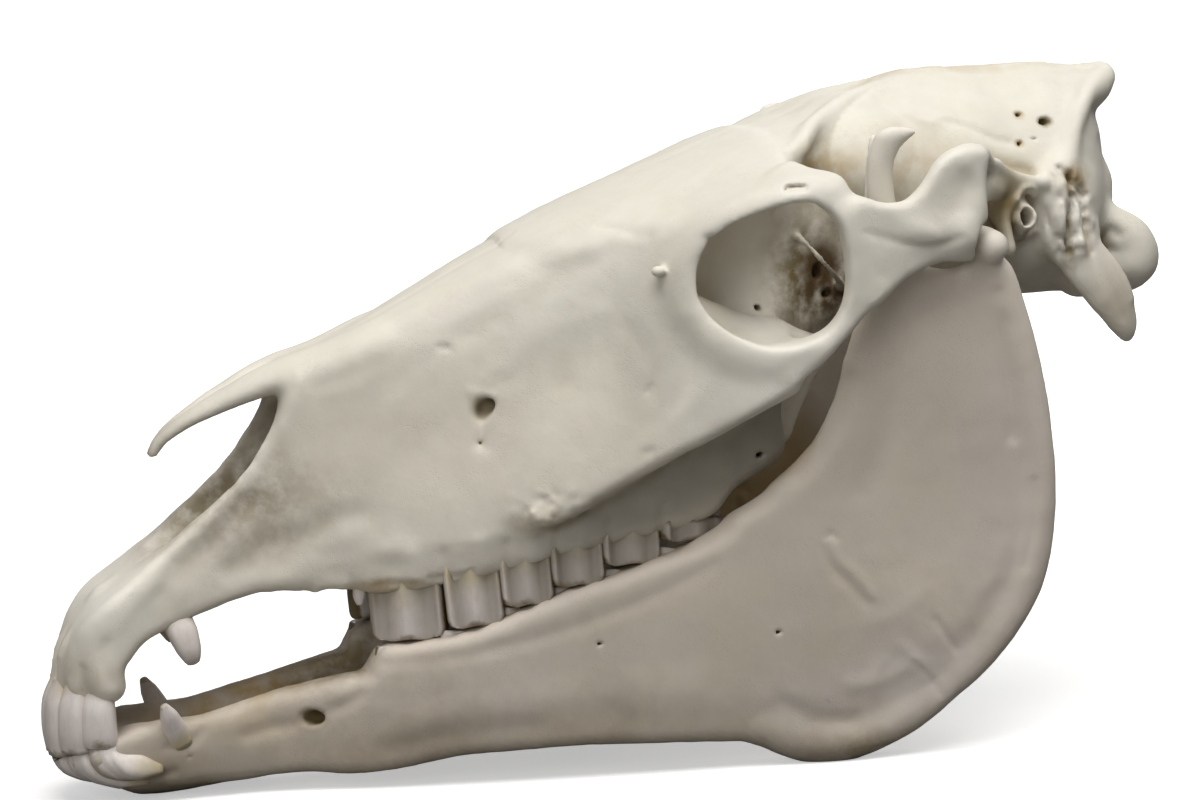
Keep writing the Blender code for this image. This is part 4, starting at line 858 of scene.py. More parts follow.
def cranium_relief(f, height):
    """Small forms of the cranium: seams between bones, ridges, pits and an uneven skin."""
    # seams of the face
    for path, width, depth in (
            (((-100, 178), (-93, 185), (-71, 194.6), (-49, 204), (-34, 214), (-19, 224)),
             6.0, 0.55),
            (((-67, 197), (-45, 209), (-25, 221.5), (-8, 231)), 5.0, 0.45),
            (((-62, 178), (-54, 183.4), (-37.5, 194.3), (-21, 203.8), (-12, 206.3)), 5.0, -0.4),
            (((-30, 176), (-24, 185), (-14, 193), (-9, 200)), 9.0, 0.9),
            (((-6, 206), (-4.4, 199), (1.3, 188.7), (4.2, 180), (3.8, 169.6)), 4.0, 0.4),
            (((-64, 163), (-65, 156), (-66, 150)), 3.4, 1.6),
            (((-60, 170), (-68, 172)), 2.2, -0.6),
            (((1.7, 171), (3.0, 173.5)), 1.3, 0.6), (((-1, 145), (1, 146)), 1.3, 0.6),
            (((-79.5, 191), (-76, 191)), 1.3, 0.8),
            # front of the face and the sides of the snout
            (((-196, 104), (-185, 110), (-173, 121), (-165, 128)), 5.5, 1.6),
            (((-173, 101), (-160, 107), (-148, 111)), 7.0, 1.4),
            (((-140, 113), (-130, 119), (-118, 122)), 6.0, 1.0),
            (((-107, 105), (-104, 106)), 6.0, -0.8),
            (((-206, 92), (-200, 97), (-190, 98)), 4.0, 0.5),
            (((-226, 80), (-216, 90), (-206, 98)), 3.4, -0.5),
            (((-151, 101), (-140, 104.5), (-128, 104)), 4.0, 0.4),
            # under the facial crest
            (((-56, 113), (-49, 114.5), (-42, 113)), 4.6, 1.4),
            (((-47, 118), (-43, 117.5)), 3.0, -1.4),
            (((-36, 113.5), (-20, 119), (0, 130), (20, 142)), 3.2, 1.2),
            # root ridges over the cheek teeth
            (((-97, 92), (-98, 103)), 4.5, -0.9), (((-69, 96), (-70, 108)), 4.0, -0.9),
            (((-47, 99.5), (-47, 110)), 4.0, -0.8), (((-26, 103.5), (-25, 113)), 4.0, -0.8),
            (((-83, 94), (-84, 103)), 2.6, 0.9), (((-58, 98), (-58, 107)), 2.4, 0.9),
            (((-36.5, 102), (-36, 111)), 2.4, 0.9), (((-14, 105.5), (-13, 114)), 2.4, 0.8),
            (((10, 109), (11, 118)), 2.4, 0.8),
            (((-112, 90), (-104, 90.5), (-96, 90)), 1.6, 1.0),
            (((-90, 92.5), (-78, 93), (-72, 95)), 1.3, 0.8),
            # gum edge of the incisors
            (((-240, 63), (-240, 52)), 1.3, 1.2), (((-249, 63), (-249.3, 52)), 1.3, 1.2),
            (((-246, 74), (-244, 79)), 1.6, 0.9), (((-229, 56), (-231, 66), (-230, 74)), 2.0, 0.7)):
        engrave(f, path, width, depth, y_low=6.0)
    # forehead, brow and temple
    for path, width, depth in (
            (((87, 50), (99, 38), (117, 22), (132, 10)), 1.3, 0.8),
            (((-10, 45), (0, 58), (8, 66)), 1.6, 0.6),
            (((20, 4), (60, 2), (100, 2)), 1.4, 0.5),
            (((-120, 6), (-80, 8), (-40, 12)), 1.5, 0.5),
            (((40, 52), (55, 60), (66, 70)), 5.0, 0.7),
            (((150, 1), (190, 1), (225, 1)), 1.8, 0.8)):
        engrave(f, path, width, depth, y_low=150.0, y_high=320.0, view="top")
    for path, width, depth, near, far in (
            (((60.5, 255.6), (64, 256.3), (67.5, 256.2)), 1.15, 2.4, 80, 104),
            (((27, 236), (29, 236.5)), 1.8, 0.8, 70, 100),
            (((150, 276), (161, 272.5), (172, 267), (180, 265)), 1.6, 0.8, 20, 60),
            (((131, 283), (142, 277), (150, 276)), 2.2, -0.8, 10, 50),
            (((176, 288), (186, 284), (197, 283)), 2.6, 0.7, 15, 60),
            (((160, 262), (158, 254), (160, 246)), 3.0, 1.2, 60, 96),
            (((168, 260), (177, 255), (186, 253)), 2.2, 1.2, 40, 75),
            # cheek arch
            (((92, 236), (101, 233), (112, 229.5), (124, 228.5), (134, 231)), 1.6, 0.6, 85, 110),
            (((60, 176), (80, 193), (97, 212)), 3.0, -0.6, 85, 110),
            (((140, 262), (147, 252), (148, 240)), 4.0, -0.9, 85, 110),
            (((124, 240), (135, 246), (140, 256)), 5.0, 0.9, 90, 110),
            # behind the ear
            (((198, 253), (203, 248), (208, 243), (211, 240)), 1.6, 2.6, 36, 70),
            (((203, 250), (202.5, 243), (203.6, 236.5), (201.2, 232), (201, 227.5), (200.4, 222),
              (201.5, 216)), 1.4, 2.6, 36, 70),
            (((194, 250), (192.5, 240), (193.5, 228), (197, 217)), 1.5, 1.0, 40, 70),
            (((207, 240), (209.5, 233), (210, 224), (213, 215)), 1.5, 1.9, 40, 70),
            (((205, 238), (206, 229), (208, 219)), 2.2, -1.2, 44, 70),
            (((197, 246), (198, 234), (198, 222)), 2.2, -1.3, 44, 70),
            (((197, 224), (201, 221), (205, 225)), 1.6, 1.5, 44, 70),
            (((212, 232), (219, 225), (224, 214), (229, 204), (233, 193)), 2.4, -1.1, 36, 66),
            (((214, 214), (219, 203), (224, 193), (227, 185)), 2.4, 0.9, 44, 66),
            (((186, 242), (183, 246), (178, 246), (174, 242)), 1.6, -1.5, 48, 76),
            (((176, 226), (181, 223), (187, 226)), 1.7, -1.2, 44, 76),
            (((173, 237), (171, 232), (172, 226)), 1.8, 1.4, 40, 76),
            (((228, 262), (233, 250), (236, 238)), 2.2, 0.9, 8, 50),
            (((226, 219), (230, 222), (233, 220)), 2.4, 1.8, 28, 60)):
        engrave(f, path, width, depth, y_low=near, y_high=far)
    # openings of small vessels
    for place, radii in (((198, 39, 272.6), (3.0, 7, 1.8)), ((187, 37, 276), (1.6, 7, 1.3)),
                         ((184, 44, 264), (1.5, 7, 1.2)), ((191, 45, 266), (1.0, 6, 1.0)),
                         ((175, 50, 269), (1.0, 6, 1.0)),
                         ((90, 43, 213), (2.6, 9, 4.4)), ((95, 42, 203), (3.6, 9, 2.4)),
                         ((38, 56, 213), (2.4, 9, 3.0)), ((60, 44, 200), (1.6, 9, 1.4)),
                         ((56, 52, 137), (2.2, 9, 1.5)), ((216, 36, 222), (2.2, 8, 2.0)),
                         ((-66, 50, 150), (1.0, 6, 1.3))):
        pit(f, place, radii)
    # even edge of the gap in front of the cheek teeth
    f.add(rod(((-156, 22, 92.3), (-141, 24, 93.3), (-126, 29, 91.6)), (3.2, 3.2, 3.2)), 4.0)
    # thin strut across the deep corner of the orbit
    f.add(rod(((78, 42, 232), (82, 52, 227), (90, 56, 217), (98, 47, 209), (102, 34, 205)),
              (2.4, 1.2, 1.2, 1.6, 3.0)), 2.0)
    # crumbly bone behind the ear and at the front end of the cheek crest
    roughen(f, (204.0, 58.0, 231.0), (13.0, 20.0, 22.0), 1.9, 1.0, 21)
    roughen(f, (-38.0, 68.0, 122.0), (18.0, 14.0, 8.0), 1.5, 0.9, 24)
    uneven(f, height, (0.55, 17.0, 3), (0.35, 7.0, 4), (0.16, 3.1, 5))


def mandible_relief(f, height):
    """Small forms of the lower jaw."""
    for path, width, depth in (
            # outer face of the ramus
            (((82, 99), (84, 92), (92, 84), (97, 78), (99, 74)), 2.6, -0.7),
            (((80, 101), (82, 102), (84, 100.5)), 1.8, 0.8),
            (((79, 96), (82, 88), (90, 79), (97, 71)), 2.4, 0.6),
            (((100, 62), (112, 66), (124, 74)), 5.0, -0.4),
            (((128, 61), (132, 54), (137, 47)), 1.7, 0.7),
            (((150, 73), (155, 80), (158, 92)), 4.5, -0.4),
            (((140, 50), (148, 60), (156, 72)), 4.0, 0.4),
            (((118, 42), (124, 36), (129, 28)), 1.8, 0.6),
            (((112, 50), (119, 44), (124, 36)), 3.0, -0.5),
            (((104, 44), (100, 38), (100, 30)), 3.0, -0.4),
            (((90, 34), (104, 36), (118, 42)), 4.0, -0.7),
            (((60, 28), (76, 20), (90, 18)), 4.0, 0.8),
            (((156, 205), (158, 185), (161, 160), (163, 140)), 2.6, 0.9),
            (((108, 200), (112, 170), (108, 145), (98, 122)), 9.0, 1.2),
            (((60, 124), (72, 140), (80, 158), (86, 178)), 3.4, -0.8),
            (((70, 128), (84, 148), (92, 170)), 4.0, 0.8),
            (((172, 120), (172, 100), (168, 82)), 1.8, 0.6),
            # body of the jaw
            (((-110, 56), (-80, 58), (-40, 66), (0, 78), (30, 92)), 3.5, 0.7),
            (((-100, 30), (-60, 36), (-20, 38), (20, 36)), 9.0, -0.8),
            (((-134, 36), (-128, 38), (-122, 42)), 3.0, 0.8),
            (((-152, 30), (-160, 29), (-170, 27)), 3.4, 1.0),
            (((-110, 18), (-80, 24), (-50, 25)), 5.0, 0.7),
            # front
            (((-203, 14), (-212, 12), (-222, 10)), 1.8, 1.0),
            (((-190, 30), (-196, 26), (-206, 25)), 2.4, 0.8)):
        engrave(f, path, width, depth, y_low=4.0)
    for place, radii in (((-20, 58, 60), (1.2, 5, 1.0)), ((58, 66, 60), (1.4, 6, 1.1)),
                         ((-196, 30, 20), (1.0, 5, 0.9))):
        pit(f, place, radii)
    uneven(f, height, (0.55, 19.0, 13), (0.30, 7.5, 14), (0.14, 3.3, 15))


# ------------------------------------------------------------------ meshes and objects
@contextmanager
def edited(mesh):
    """The mesh opened for editing and written back afterwards."""
    bm = bmesh.new()
    bm.from_mesh(mesh)
    yield bm
    bm.to_mesh(mesh)
    bm.free()


def new_object(name, data):
    """An object in the scene that shows the data."""
    thing = bpy.data.objects.new(name, data)
    bpy.context.scene.collection.objects.link(thing)
    return thing


def worked_out(thing):
    """New mesh of an object with its modifiers carried out."""
    bpy.context.view_layer.update()
    ready = thing.evaluated_get(bpy.context.evaluated_depsgraph_get())
    return bpy.data.meshes.new_from_object(ready)


def write_layer(mesh, name, values):
    """Keep one number per vertex under a name."""
    layer = mesh.attributes.new(name, "FLOAT", "POINT")
    layer.data.foreach_set("value", values.astype(np.float32))


def put(tree, kind, ins=None, **settings):
    """Add a node; its inputs take values or other nodes' outputs."""
    n = tree.nodes.new(kind)
    for key, value in settings.items():
        setattr(n, key, value)
    for key, value in (ins or {}).items():
        if isinstance(value, bpy.types.NodeSocket):
            tree.links.new(value, n.inputs[key])
        else:
            n.inputs[key].default_value = value
    return n


# ------------------------------------------------------------------ bone meshes
def both_sides(values):
    """Mirror the half grid (whose first layer is the middle plane)."""
    return np.concatenate([values[:, :0:-1, :], values], axis=1)


def box_blur(values, cells):
    """Three box filters along each axis."""
    for axis in range(3):
        for _ in range(3):
            pad = [(0, 0)] * 3
            pad[axis] = (cells + 1, cells)
            total = np.cumsum(np.pad(values, pad, mode="edge"), axis=axis, dtype=np.float64)
            n = values.shape[axis]
            high = np.take(total, np.arange(2 * cells + 1, 2 * cells + 1 + n), axis)
            low = np.take(total, np.arange(n), axis)
            values = ((high - low) / (2 * cells + 1)).astype(np.float32)
    return values


def sample(values, axes, p):
    """Values of a half grid at points, by straight blending."""
    q = np.abs(p) * (0, 1, 0) + p * (1, 0, 1)
    weights = []
    places = []
    for k in range(3):
        s = np.clip((q[:, k] - axes[k][0]) / (axes[k][1] - axes[k][0]), 0, len(axes[k]) - 1.001)
        places.append(s.astype(int))
        weights.append(s - s.astype(int))
    total = np.zeros(len(p))
    for corner in range(8):
        o = (corner & 1, corner >> 1 & 1, corner >> 2 & 1)
        w = 1.0
        for k in range(3):
            w = w * (weights[k] if o[k] else 1 - weights[k])
        total += w * values[places[0] + o[0], places[1] + o[1], places[2] + o[2]]
    return total


def fullness(field, radius):
    """Share of bone within a radius: half on a flat, more in a hollow, less on an edge."""
    solid = np.clip(0.5 - field.d / field.step, 0.0, 1.0).astype(np.float32)
    cells = max(1, int(round(radius / field.step)))
    mirrored = np.concatenate([solid[:, 3 * cells:0:-1, :], solid], axis=1)
    return box_blur(mirrored, cells)[:, 3 * cells:, :]


KEPT = {}   # both bones' fields, so that they are made only once


def bone_fields(step, height):
    """Fields of both bones and the fullness of the whole skull on a coarse grid."""
    key = (round(step, 4), round(height, 4))
    if KEPT.get("key") != key:
        mandible = mandible_field(step)
        cranium = cranium_field(step)
        cranium.d = np.maximum(cranium.d, JAW_GAP - mandible.d)
        cranium_relief(cranium, height)
        beyond = np.maximum(cranium.axes[0][:, None] - BONE_REACH[0],
                            cranium.axes[1][None, :] - BONE_REACH[1])
        cranium.d = np.maximum(cranium.d, beyond[:, :, None]).astype(np.float32)
        mandible_relief(mandible, height)
        coarse = mandible_field(COARSE_STEP, teeth=True)
        other = cranium_field(COARSE_STEP, teeth=True)
        coarse.d = np.minimum(coarse.d, other.d)
        KEPT.update(key=key, cranium=cranium, mandible=mandible, axes=coarse.axes,
                    wide=fullness(coarse, DEPTH), middle=fullness(coarse, HOLLOW))
    return KEPT


def keep_largest(bm):
    """Remove loose specks and closed pockets so that one outer surface is left."""
    bm.verts.ensure_lookup_table()
    seen = set()
    groups = []
    for start in bm.verts:
        if start.index in seen:
            continue
        stack = [start]
        seen.add(start.index)
        group = []
        while stack:
            v = stack.pop()
            group.append(v)
            for e in v.link_edges:
                w = e.other_vert(v)
                if w.index not in seen:
                    seen.add(w.index)
                    stack.append(w)
        groups.append(group)
    groups.sort(key=len, reverse=True)
    loose = [v for g in groups[1:] for v in g]
    if loose:
        bmesh.ops.delete(bm, geom=loose, context="VERTS")


def stand_on_floor(bm, height):
    """Take the lowest bone off level, close the cuts and lower the mesh onto the floor."""
    bmesh.ops.bisect_plane(bm, geom=bm.verts[:] + bm.edges[:] + bm.faces[:], dist=1e-6,
                           plane_co=(0, 0, height), plane_no=(0, 0, -1), clear_outer=True)
    rim = [edge for edge in bm.edges if edge.is_boundary]
    if rim:
        bmesh.ops.holes_fill(bm, edges=rim, sides=0)
    bmesh.ops.translate(bm, verts=bm.verts, vec=(0, 0, -height))
    bmesh.ops.triangulate(bm, faces=bm.faces)


def trim_right(full, field, solid):
    """Carve a solid out of the right side only (full runs from minus to plus Y)."""
    low, high, distance = solid
    cut, x, y, z = field.window(low, high)
    start = full.shape[1] - field.d.shape[1]
    across = slice(start + cut[1].start, start + cut[1].stop)
    part = full[cut[0], across, cut[2]]
    full[cut[0], across, cut[2]] = smooth_max(part, -distance(x, y, z), 2.0)


def bone_piece(name, field, triangles, trim=None):
    """Turn a bone's field into a finished mesh with its hollows and edges as attributes."""
    full = both_sides(field.d).astype(np.float32)
    if trim:
        trim_right(full, field, trim)
    margin = 2
    full = np.pad(full, margin, constant_values=MESH_BAND)
    grid = openvdb.FloatGrid()
    grid.copyFromArray(np.clip(full, -MESH_BAND, MESH_BAND))
    points, quads = grid.convertToQuads(0.0)
    origin = field.low - float(margin) * field.step
    origin[1] = -(field.d.shape[1] - 1 + margin) * field.step
    points = points * field.step + origin
    mesh = bpy.data.meshes.new(name)
    mesh.from_pydata((points * METRE).tolist(), [], quads[:, ::-1].tolist())
    with edited(mesh) as bm:
        bmesh.ops.recalc_face_normals(bm, faces=bm.faces)
        keep_largest(bm)
        bmesh.ops.triangulate(bm, faces=bm.faces)
    piece = new_object(name, mesh)
    thin = piece.modifiers.new("Thin out", "DECIMATE")
    thin.ratio = min(1.0, triangles / max(len(mesh.polygons), 1))
    light = worked_out(piece)
    piece.modifiers.remove(thin)
    piece.data = light
    bpy.data.meshes.remove(mesh)
    light.name = name
    with edited(light) as bm:
        stand_on_floor(bm, FLOOR_TRIM * METRE)
    light.shade_smooth()
    mark_surface(light, field)
    return piece


def mark_surface(mesh, field):
    """Write how hollow or sharp the bone is at each vertex."""
    p = np.empty(len(mesh.vertices) * 3)
    mesh.vertices.foreach_get("co", p)
    p = p.reshape(-1, 3) * MILLIMETRE + (0, 0, FLOOR_TRIM)
    near = sample(fullness(field, CREASE), field.axes, p)
    middle = sample(KEPT["middle"], KEPT["axes"], p)
    wide = sample(KEPT["wide"], KEPT["axes"], p)
    for name, values in (("crease", near), ("hollow", middle), ("depth", wide)):
        write_layer(mesh, name, (values - 0.5) * 2.0)


# ------------------------------------------------------------------ teeth
def tooth_mesh(name, rings, tone, shade_layer):
    """Loft a tooth from rings of points (first at the chewing end), closed at both ends.

    tone rises from the chewing face to the root; shade_layer marks painted shade in the furrows and
    on the upper canine.
    """
    n = len(rings[0])
    points = np.concatenate(rings)
    faces = []
    for k in range(len(rings) - 1):
        for i in range(n):
            j = (i + 1) % n
            faces.append((k * n + i, k * n + j, (k + 1) * n + j, (k + 1) * n + i))
    mesh = bpy.data.meshes.new(name)
    mesh.from_pydata((points * METRE).tolist(), [], faces)
    with edited(mesh) as bm:
        bmesh.ops.holes_fill(bm, edges=[e for e in bm.edges if e.is_boundary], sides=0)
        bmesh.ops.triangulate(bm, faces=[f for f in bm.faces if len(f.verts) > 4])
        bmesh.ops.recalc_face_normals(bm, faces=bm.faces)
    mesh.shade_smooth()
    write_layer(mesh, "crown", np.concatenate(tone))
    write_layer(mesh, "furrow_shade", shade_layer.ravel())
    return mesh


def bump(x, centre, width):
    """Bell curve of height one."""
    return np.exp(-((x - centre) / width) ** 2)


def squared_circle(n, power):
    """Points of a circle whose corners fill out as the power falls below one."""
    t = np.linspace(0.0, 2.0 * np.pi, n, endpoint=False)
    return [np.sign(v) * np.abs(v) ** power for v in (np.cos(t), np.sin(t))]


def cheek_outline(kind, half, deep, n=72):
    """Plan of a cheek tooth: x along the row, +y toward the cheek, with its upright ridges."""
    x, y = squared_circle(n, 0.30)
    x, y = half * x, deep * y
    outer = np.clip(y / deep, 0.0, 1.0)
    inner = np.clip(-y / deep, 0.0, 1.0)
    upper = kind.startswith("upper")
    if upper:
        ridge = (bump(x, -half * 0.86, 2.1) + 0.95 * bump(x, half * 0.02, 2.1)
                 + 0.55 * bump(x, half * 0.88, 1.8))
        y = y + outer * (4.3 * ridge - 3.5)
        y = y - inner * (1.6 * bump(x, -half * 0.1, half * 0.45) - 0.9)
    else:
        lobes = bump(x, -half * 0.5, half * 0.36) + bump(x, half * 0.45, half * 0.36)
        y = y + outer * (1.7 * lobes - 1.3)
        y = y - inner * (1.2 * lobes - 0.6)
    if kind.endswith("first"):
        front = np.clip((-x - half * 0.1) / (half * 0.9), 0.0, 1.0)
        narrower, inward = (0.45, 2.0) if upper else (0.40, 0.0)
        y = y * (1.0 - narrower * front ** 1.3) - inward * front
    if kind.endswith("last"):
        back = np.clip((x - half * 0.1) / (half * 0.9), 0.0, 1.0)
        y = y * (1.0 - 0.42 * back ** 1.4)
    return x, y


def cheek_tooth(kind, half, deep, gum, seed):
    """Cheek tooth standing on its chewing face at z = 0, narrowing above the gum."""
    x, y = cheek_outline(kind, half, deep)
    rings = []
    tone = []
    rough = point_noise(np.stack([x, y, np.full_like(x, seed * 9.0)], 1), 4.2, seed)
    upper = 1.0 if kind.startswith("upper") else -1.0
    slope = BITE_SLOPE * upper
    seam = np.clip(np.abs(x) / half * 9.0 - 8.0, 0.0, 1.0)
    lobes = bump(x, -half * 0.48, half * 0.30) + bump(x, half * 0.46, half * 0.30)
    notch = np.clip(1.0 - lobes, 0.0, 1.0) * np.clip(y / deep, 0.0, 1.0)
    # painted shade in the furrows between the ridges on the cheek side
    furrow_shade = np.clip((deep - 0.4 - y) / 2.4, 0.0, 1.0) * (y > 0.0)
    for scale, rise in ((0.30, 1.1), (0.62, 1.3), (0.80, 0.2), (0.93, 0.0)):
        rings.append(np.stack([x * scale, y * scale,
                               rise + 0.5 * rough * (scale - 0.3) - slope * y * scale
                               + 4.2 * notch * scale ** 4], 1))
        tone.append(np.full(len(x), -0.15 * (1.0 - scale)))
    long = gum + 9.0   # the tooth goes on this far into its socket
    for level in (0.5, 1.6, 3.0, 5.0, 7.5, 10.0, 0.6 * gum + 3.0, 0.8 * gum + 2.0, gum + 1.0,
                  gum + 4.0, long):
        grow = 1.0 - 0.035 * bump(level, 0.5, 1.0) - 0.025 * max(0.0, level - gum + 1.0)
        spots = np.stack([x, y, np.full_like(x, level + seed * 31.0)], 1)
        wave = 0.35 * point_noise(spots, 5.0, 2)
        lift = 0.6 * rough * bump(level, 0.0, 3.0) + 4.4 * notch * bump(level, 0.0, 5.0)
        ring = np.stack([x * grow, (y + np.sign(y) * wave) * grow,
                         level + lift - slope * y * max(0.0, 1.0 - level / long)], 1)
        rings.append(ring)
        tone.append(level / long - seam * (0.25 + level / long))
    shade_layer = np.tile(furrow_shade, (len(rings), 1))
    return tooth_mesh(kind, rings, tone, shade_layer)


def front_tooth(name, path, sizes, across, groove=0.5, n=40, flat_tip=True, darkening=0.0):
    """Tooth swept along a path from its tip to its root.

    sizes are (half width, half thickness) at each path point; across is the width direction.
    """
    p = bend(path, parts=4)
    k = np.linspace(0, len(sizes) - 1, len(p))
    wide = np.interp(k, np.arange(len(sizes)), [s[0] for s in sizes])
    thick = np.interp(k, np.arange(len(sizes)), [s[1] for s in sizes])
    side = np.array(across, float)
    side /= np.linalg.norm(side)
    c, s = squared_circle(n, 0.8)
    rings = []
    tone = []
    length = np.linalg.norm(np.diff(p, axis=0), axis=1).sum()
    run = 0.0
    for i in range(len(p)):
        ahead = p[min(i + 1, len(p) - 1)] - p[max(i - 1, 0)]
        ahead /= np.linalg.norm(ahead)
        u = side - ahead * float(side @ ahead)
        u /= np.linalg.norm(u)
        v = np.cross(ahead, u)
        dent = groove * (bump(c, 0.28, 0.16) + 0.6 * bump(c, -0.35, 0.2)) * (s > 0)
        if i:
            run += np.linalg.norm(p[i] - p[i - 1])
        ring = p[i] + np.outer(c * wide[i], u) + np.outer(s * thick[i] - dent, v)
        if i == 0:
            if flat_tip:
                for scale, back in ((0.35, 1.4), (0.7, 1.0), (0.92, 0.0)):
                    rings.append(p[0] + (ring - p[0]) * scale + ahead * back)
                    tone.append(np.full(n, -0.1))
            else:
                for scale in (0.35, 0.75):
                    rings.append(p[0] + (ring - p[0]) * scale
                                 - ahead * 0.6 * wide[0] * np.sqrt(1 - scale * scale))
                    tone.append(np.full(n, 0.0))
        rings.append(ring)
        tone.append(np.full(n, run / length))
    return tooth_mesh(name, rings, tone, np.full((len(rings), n), darkening))


def mirrored(mesh):
    """Copy of a mesh reflected across the middle plane."""
    other = mesh.copy()
    with edited(other) as bm:
        for v in bm.verts:
            v.co.y = -v.co.y
        bmesh.ops.reverse_faces(bm, faces=bm.faces)
    return other


def joined(name, meshes):
    """One object from several meshes in place."""
    whole = bpy.data.meshes.new(name)
    with edited(whole) as bm:
        for mesh in meshes:
            bm.from_mesh(mesh)
    for mesh in meshes:
        bpy.data.meshes.remove(mesh)
    whole.shade_smooth()
    whole.transform(Matrix.Translation((0, 0, -FLOOR_TRIM * METRE)))
    return new_object(name, whole)


def row_tree(name, material):
    """Nodes that set templates on the points of a row, each with its own turn."""
    tree = bpy.data.node_groups.new(name, "GeometryNodeTree")
    socket = tree.interface.new_socket
    socket("Row", in_out="INPUT", socket_type="NodeSocketGeometry")
    socket("Teeth", in_out="INPUT", socket_type="NodeSocketCollection")
    socket("Tooth scale", in_out="INPUT", socket_type="NodeSocketFloat").default_value = 1.0
    socket("Result", in_out="OUTPUT", socket_type="NodeSocketGeometry")
    start = tree.nodes.new("NodeGroupInput").outputs
    teeth = put(tree, "GeometryNodeCollectionInfo",
                {"Collection": start["Teeth"], "Separate Children": True,
                 "Reset Children": True}).outputs["Instances"]
    turned, which = (put(tree, "GeometryNodeInputNamedAttribute", {"Name": label},
                         data_type=kind).outputs["Attribute"]
                     for label, kind in (("turn", "FLOAT_VECTOR"), ("which", "INT")))
    placed = put(tree, "GeometryNodeInstanceOnPoints",
                 {"Points": start["Row"], "Instance": teeth, "Pick Instance": True,
                  "Instance Index": which, "Rotation": turned,
                  "Scale": start["Tooth scale"]}).outputs["Instances"]
    real = put(tree, "GeometryNodeRealizeInstances", {"Geometry": placed}).outputs["Geometry"]
    painted = put(tree, "GeometryNodeSetMaterial", {"Geometry": real, "Material": material})
    tree.links.new(painted.outputs["Geometry"],
                   tree.nodes.new("NodeGroupOutput").inputs["Result"])
    return tree


def tooth_row(name, table, middle, upper, material):
    """The cheek teeth of one jaw, both sides, set along the row by a node tree."""
    cup = bpy.data.collections.new(name + "_templates")
    bpy.context.scene.collection.children.link(cup)
    places = []
    turns = []
    for i, (kind, x0, half, deep, lean) in enumerate(table):
        gum = float(socket_height(x0)) - float(bite_line(x0)) if upper else 16.0
        mesh = cheek_tooth(kind, half, deep, gum, i + 1 + 10 * upper)
        template = bpy.data.objects.new(f"{name}_{i}", mesh)
        cup.objects.link(template)
        y0 = float(middle(x0))
        yaw = np.arctan(row_slope(middle, x0, 5))
        bite = float(bite_height(x0, y0))
        if upper:
            places.append((x0, y0, bite - 0.2))
            turns.append((0.0, np.radians(lean), yaw))
        else:
            places.append((x0, y0 - 2.6, bite - 3.3 - 0.045 * max(0.0, x0 + 30.0)))
            turns.append((np.pi, -np.radians(lean), yaw))
    points = bpy.data.meshes.new(name)
    points.from_pydata([[v * METRE for v in place] for place in places], [], [])
    layer = points.attributes.new("turn", "FLOAT_VECTOR", "POINT")
    layer.data.foreach_set("vector", [v for t in turns for v in t])
    layer = points.attributes.new("which", "INT", "POINT")
    layer.data.foreach_set("value", list(range(len(places))))
    row = new_object(name, points)
    tree = row_tree(name + " set out", material)
    grow = row.modifiers.new("Set out", "NODES")
    grow.node_group = tree
    for item in tree.interface.items_tree:
        if item.name == "Teeth":
            grow[item.identifier] = cup
        if item.name == "Tooth scale":
            grow[item.identifier] = 1.0
    one_side = worked_out(row)
    bpy.data.objects.remove(row)
    for template in list(cup.objects):
        bpy.data.objects.remove(template)
    bpy.data.collections.remove(cup)
    return joined(name, [one_side, mirrored(one_side)])


def upper_front_teeth():
    """Upper incisors of one side, the blunt canine and the small wolf tooth."""
    made = []
    for i, (angle, wide, drop, gum) in enumerate(((13.5, 7.5, 0.0, 60.0), (40.0, 7.7, 0.4, 60.0),
                                                  (66.0, 7.6, 1.6, 58.0))):
        out = ray(angle)
        foot = upper_foot(out)
        path = (foot - out * 1.0 + (0, 0, 22.6 + drop + 2.6 * i), foot + out * 0.1 + (0, 0, 33.0),
                foot - out * 0.6 + (0, 0, 44.0), foot - out * 4.0 + (0, 0, gum - 7.0),
                foot - out * 8.4 + (0, 0, gum + 4.0))
        sizes = ((wide, 5.2), (wide + 0.1, 5.5), (wide - 0.4, 5.3), (wide - 1.6, 4.5),
                 (wide - 2.8, 4.0))
        made.append(front_tooth(f"incisor_{i}", path, sizes, (-out[1], out[0], 0.0), groove=0.7))
    path = ((-192.6, 27.6, 62.6), (-193.8, 27.4, 67.0), (-195.8, 25.0, 74.0), (-198.0, 20.0, 81.0),
            (-199.0, 13.5, 88.0))
    sizes = ((3.6, 3.2), (5.3, 4.4), (6.6, 4.8), (6.6, 4.8), (5.0, 4.0))
    # painted shade on the upper canine, whose face tilts up toward the light
    made.append(front_tooth("canine", path, sizes, (1, 0, 0), groove=0.15, flat_tip=False,
                            darkening=0.5))
    path = ((-118.5, 27.4, 81.0), (-118.5, 27.0, 84.0), (-118.0, 26.5, 90.0))
    made.append(front_tooth("wolf", path, ((1.6, 1.4), (2.6, 2.4), (2.8, 2.6)), (1, 0, 0),
                            groove=0.0, n=20, flat_tip=False))
    return made


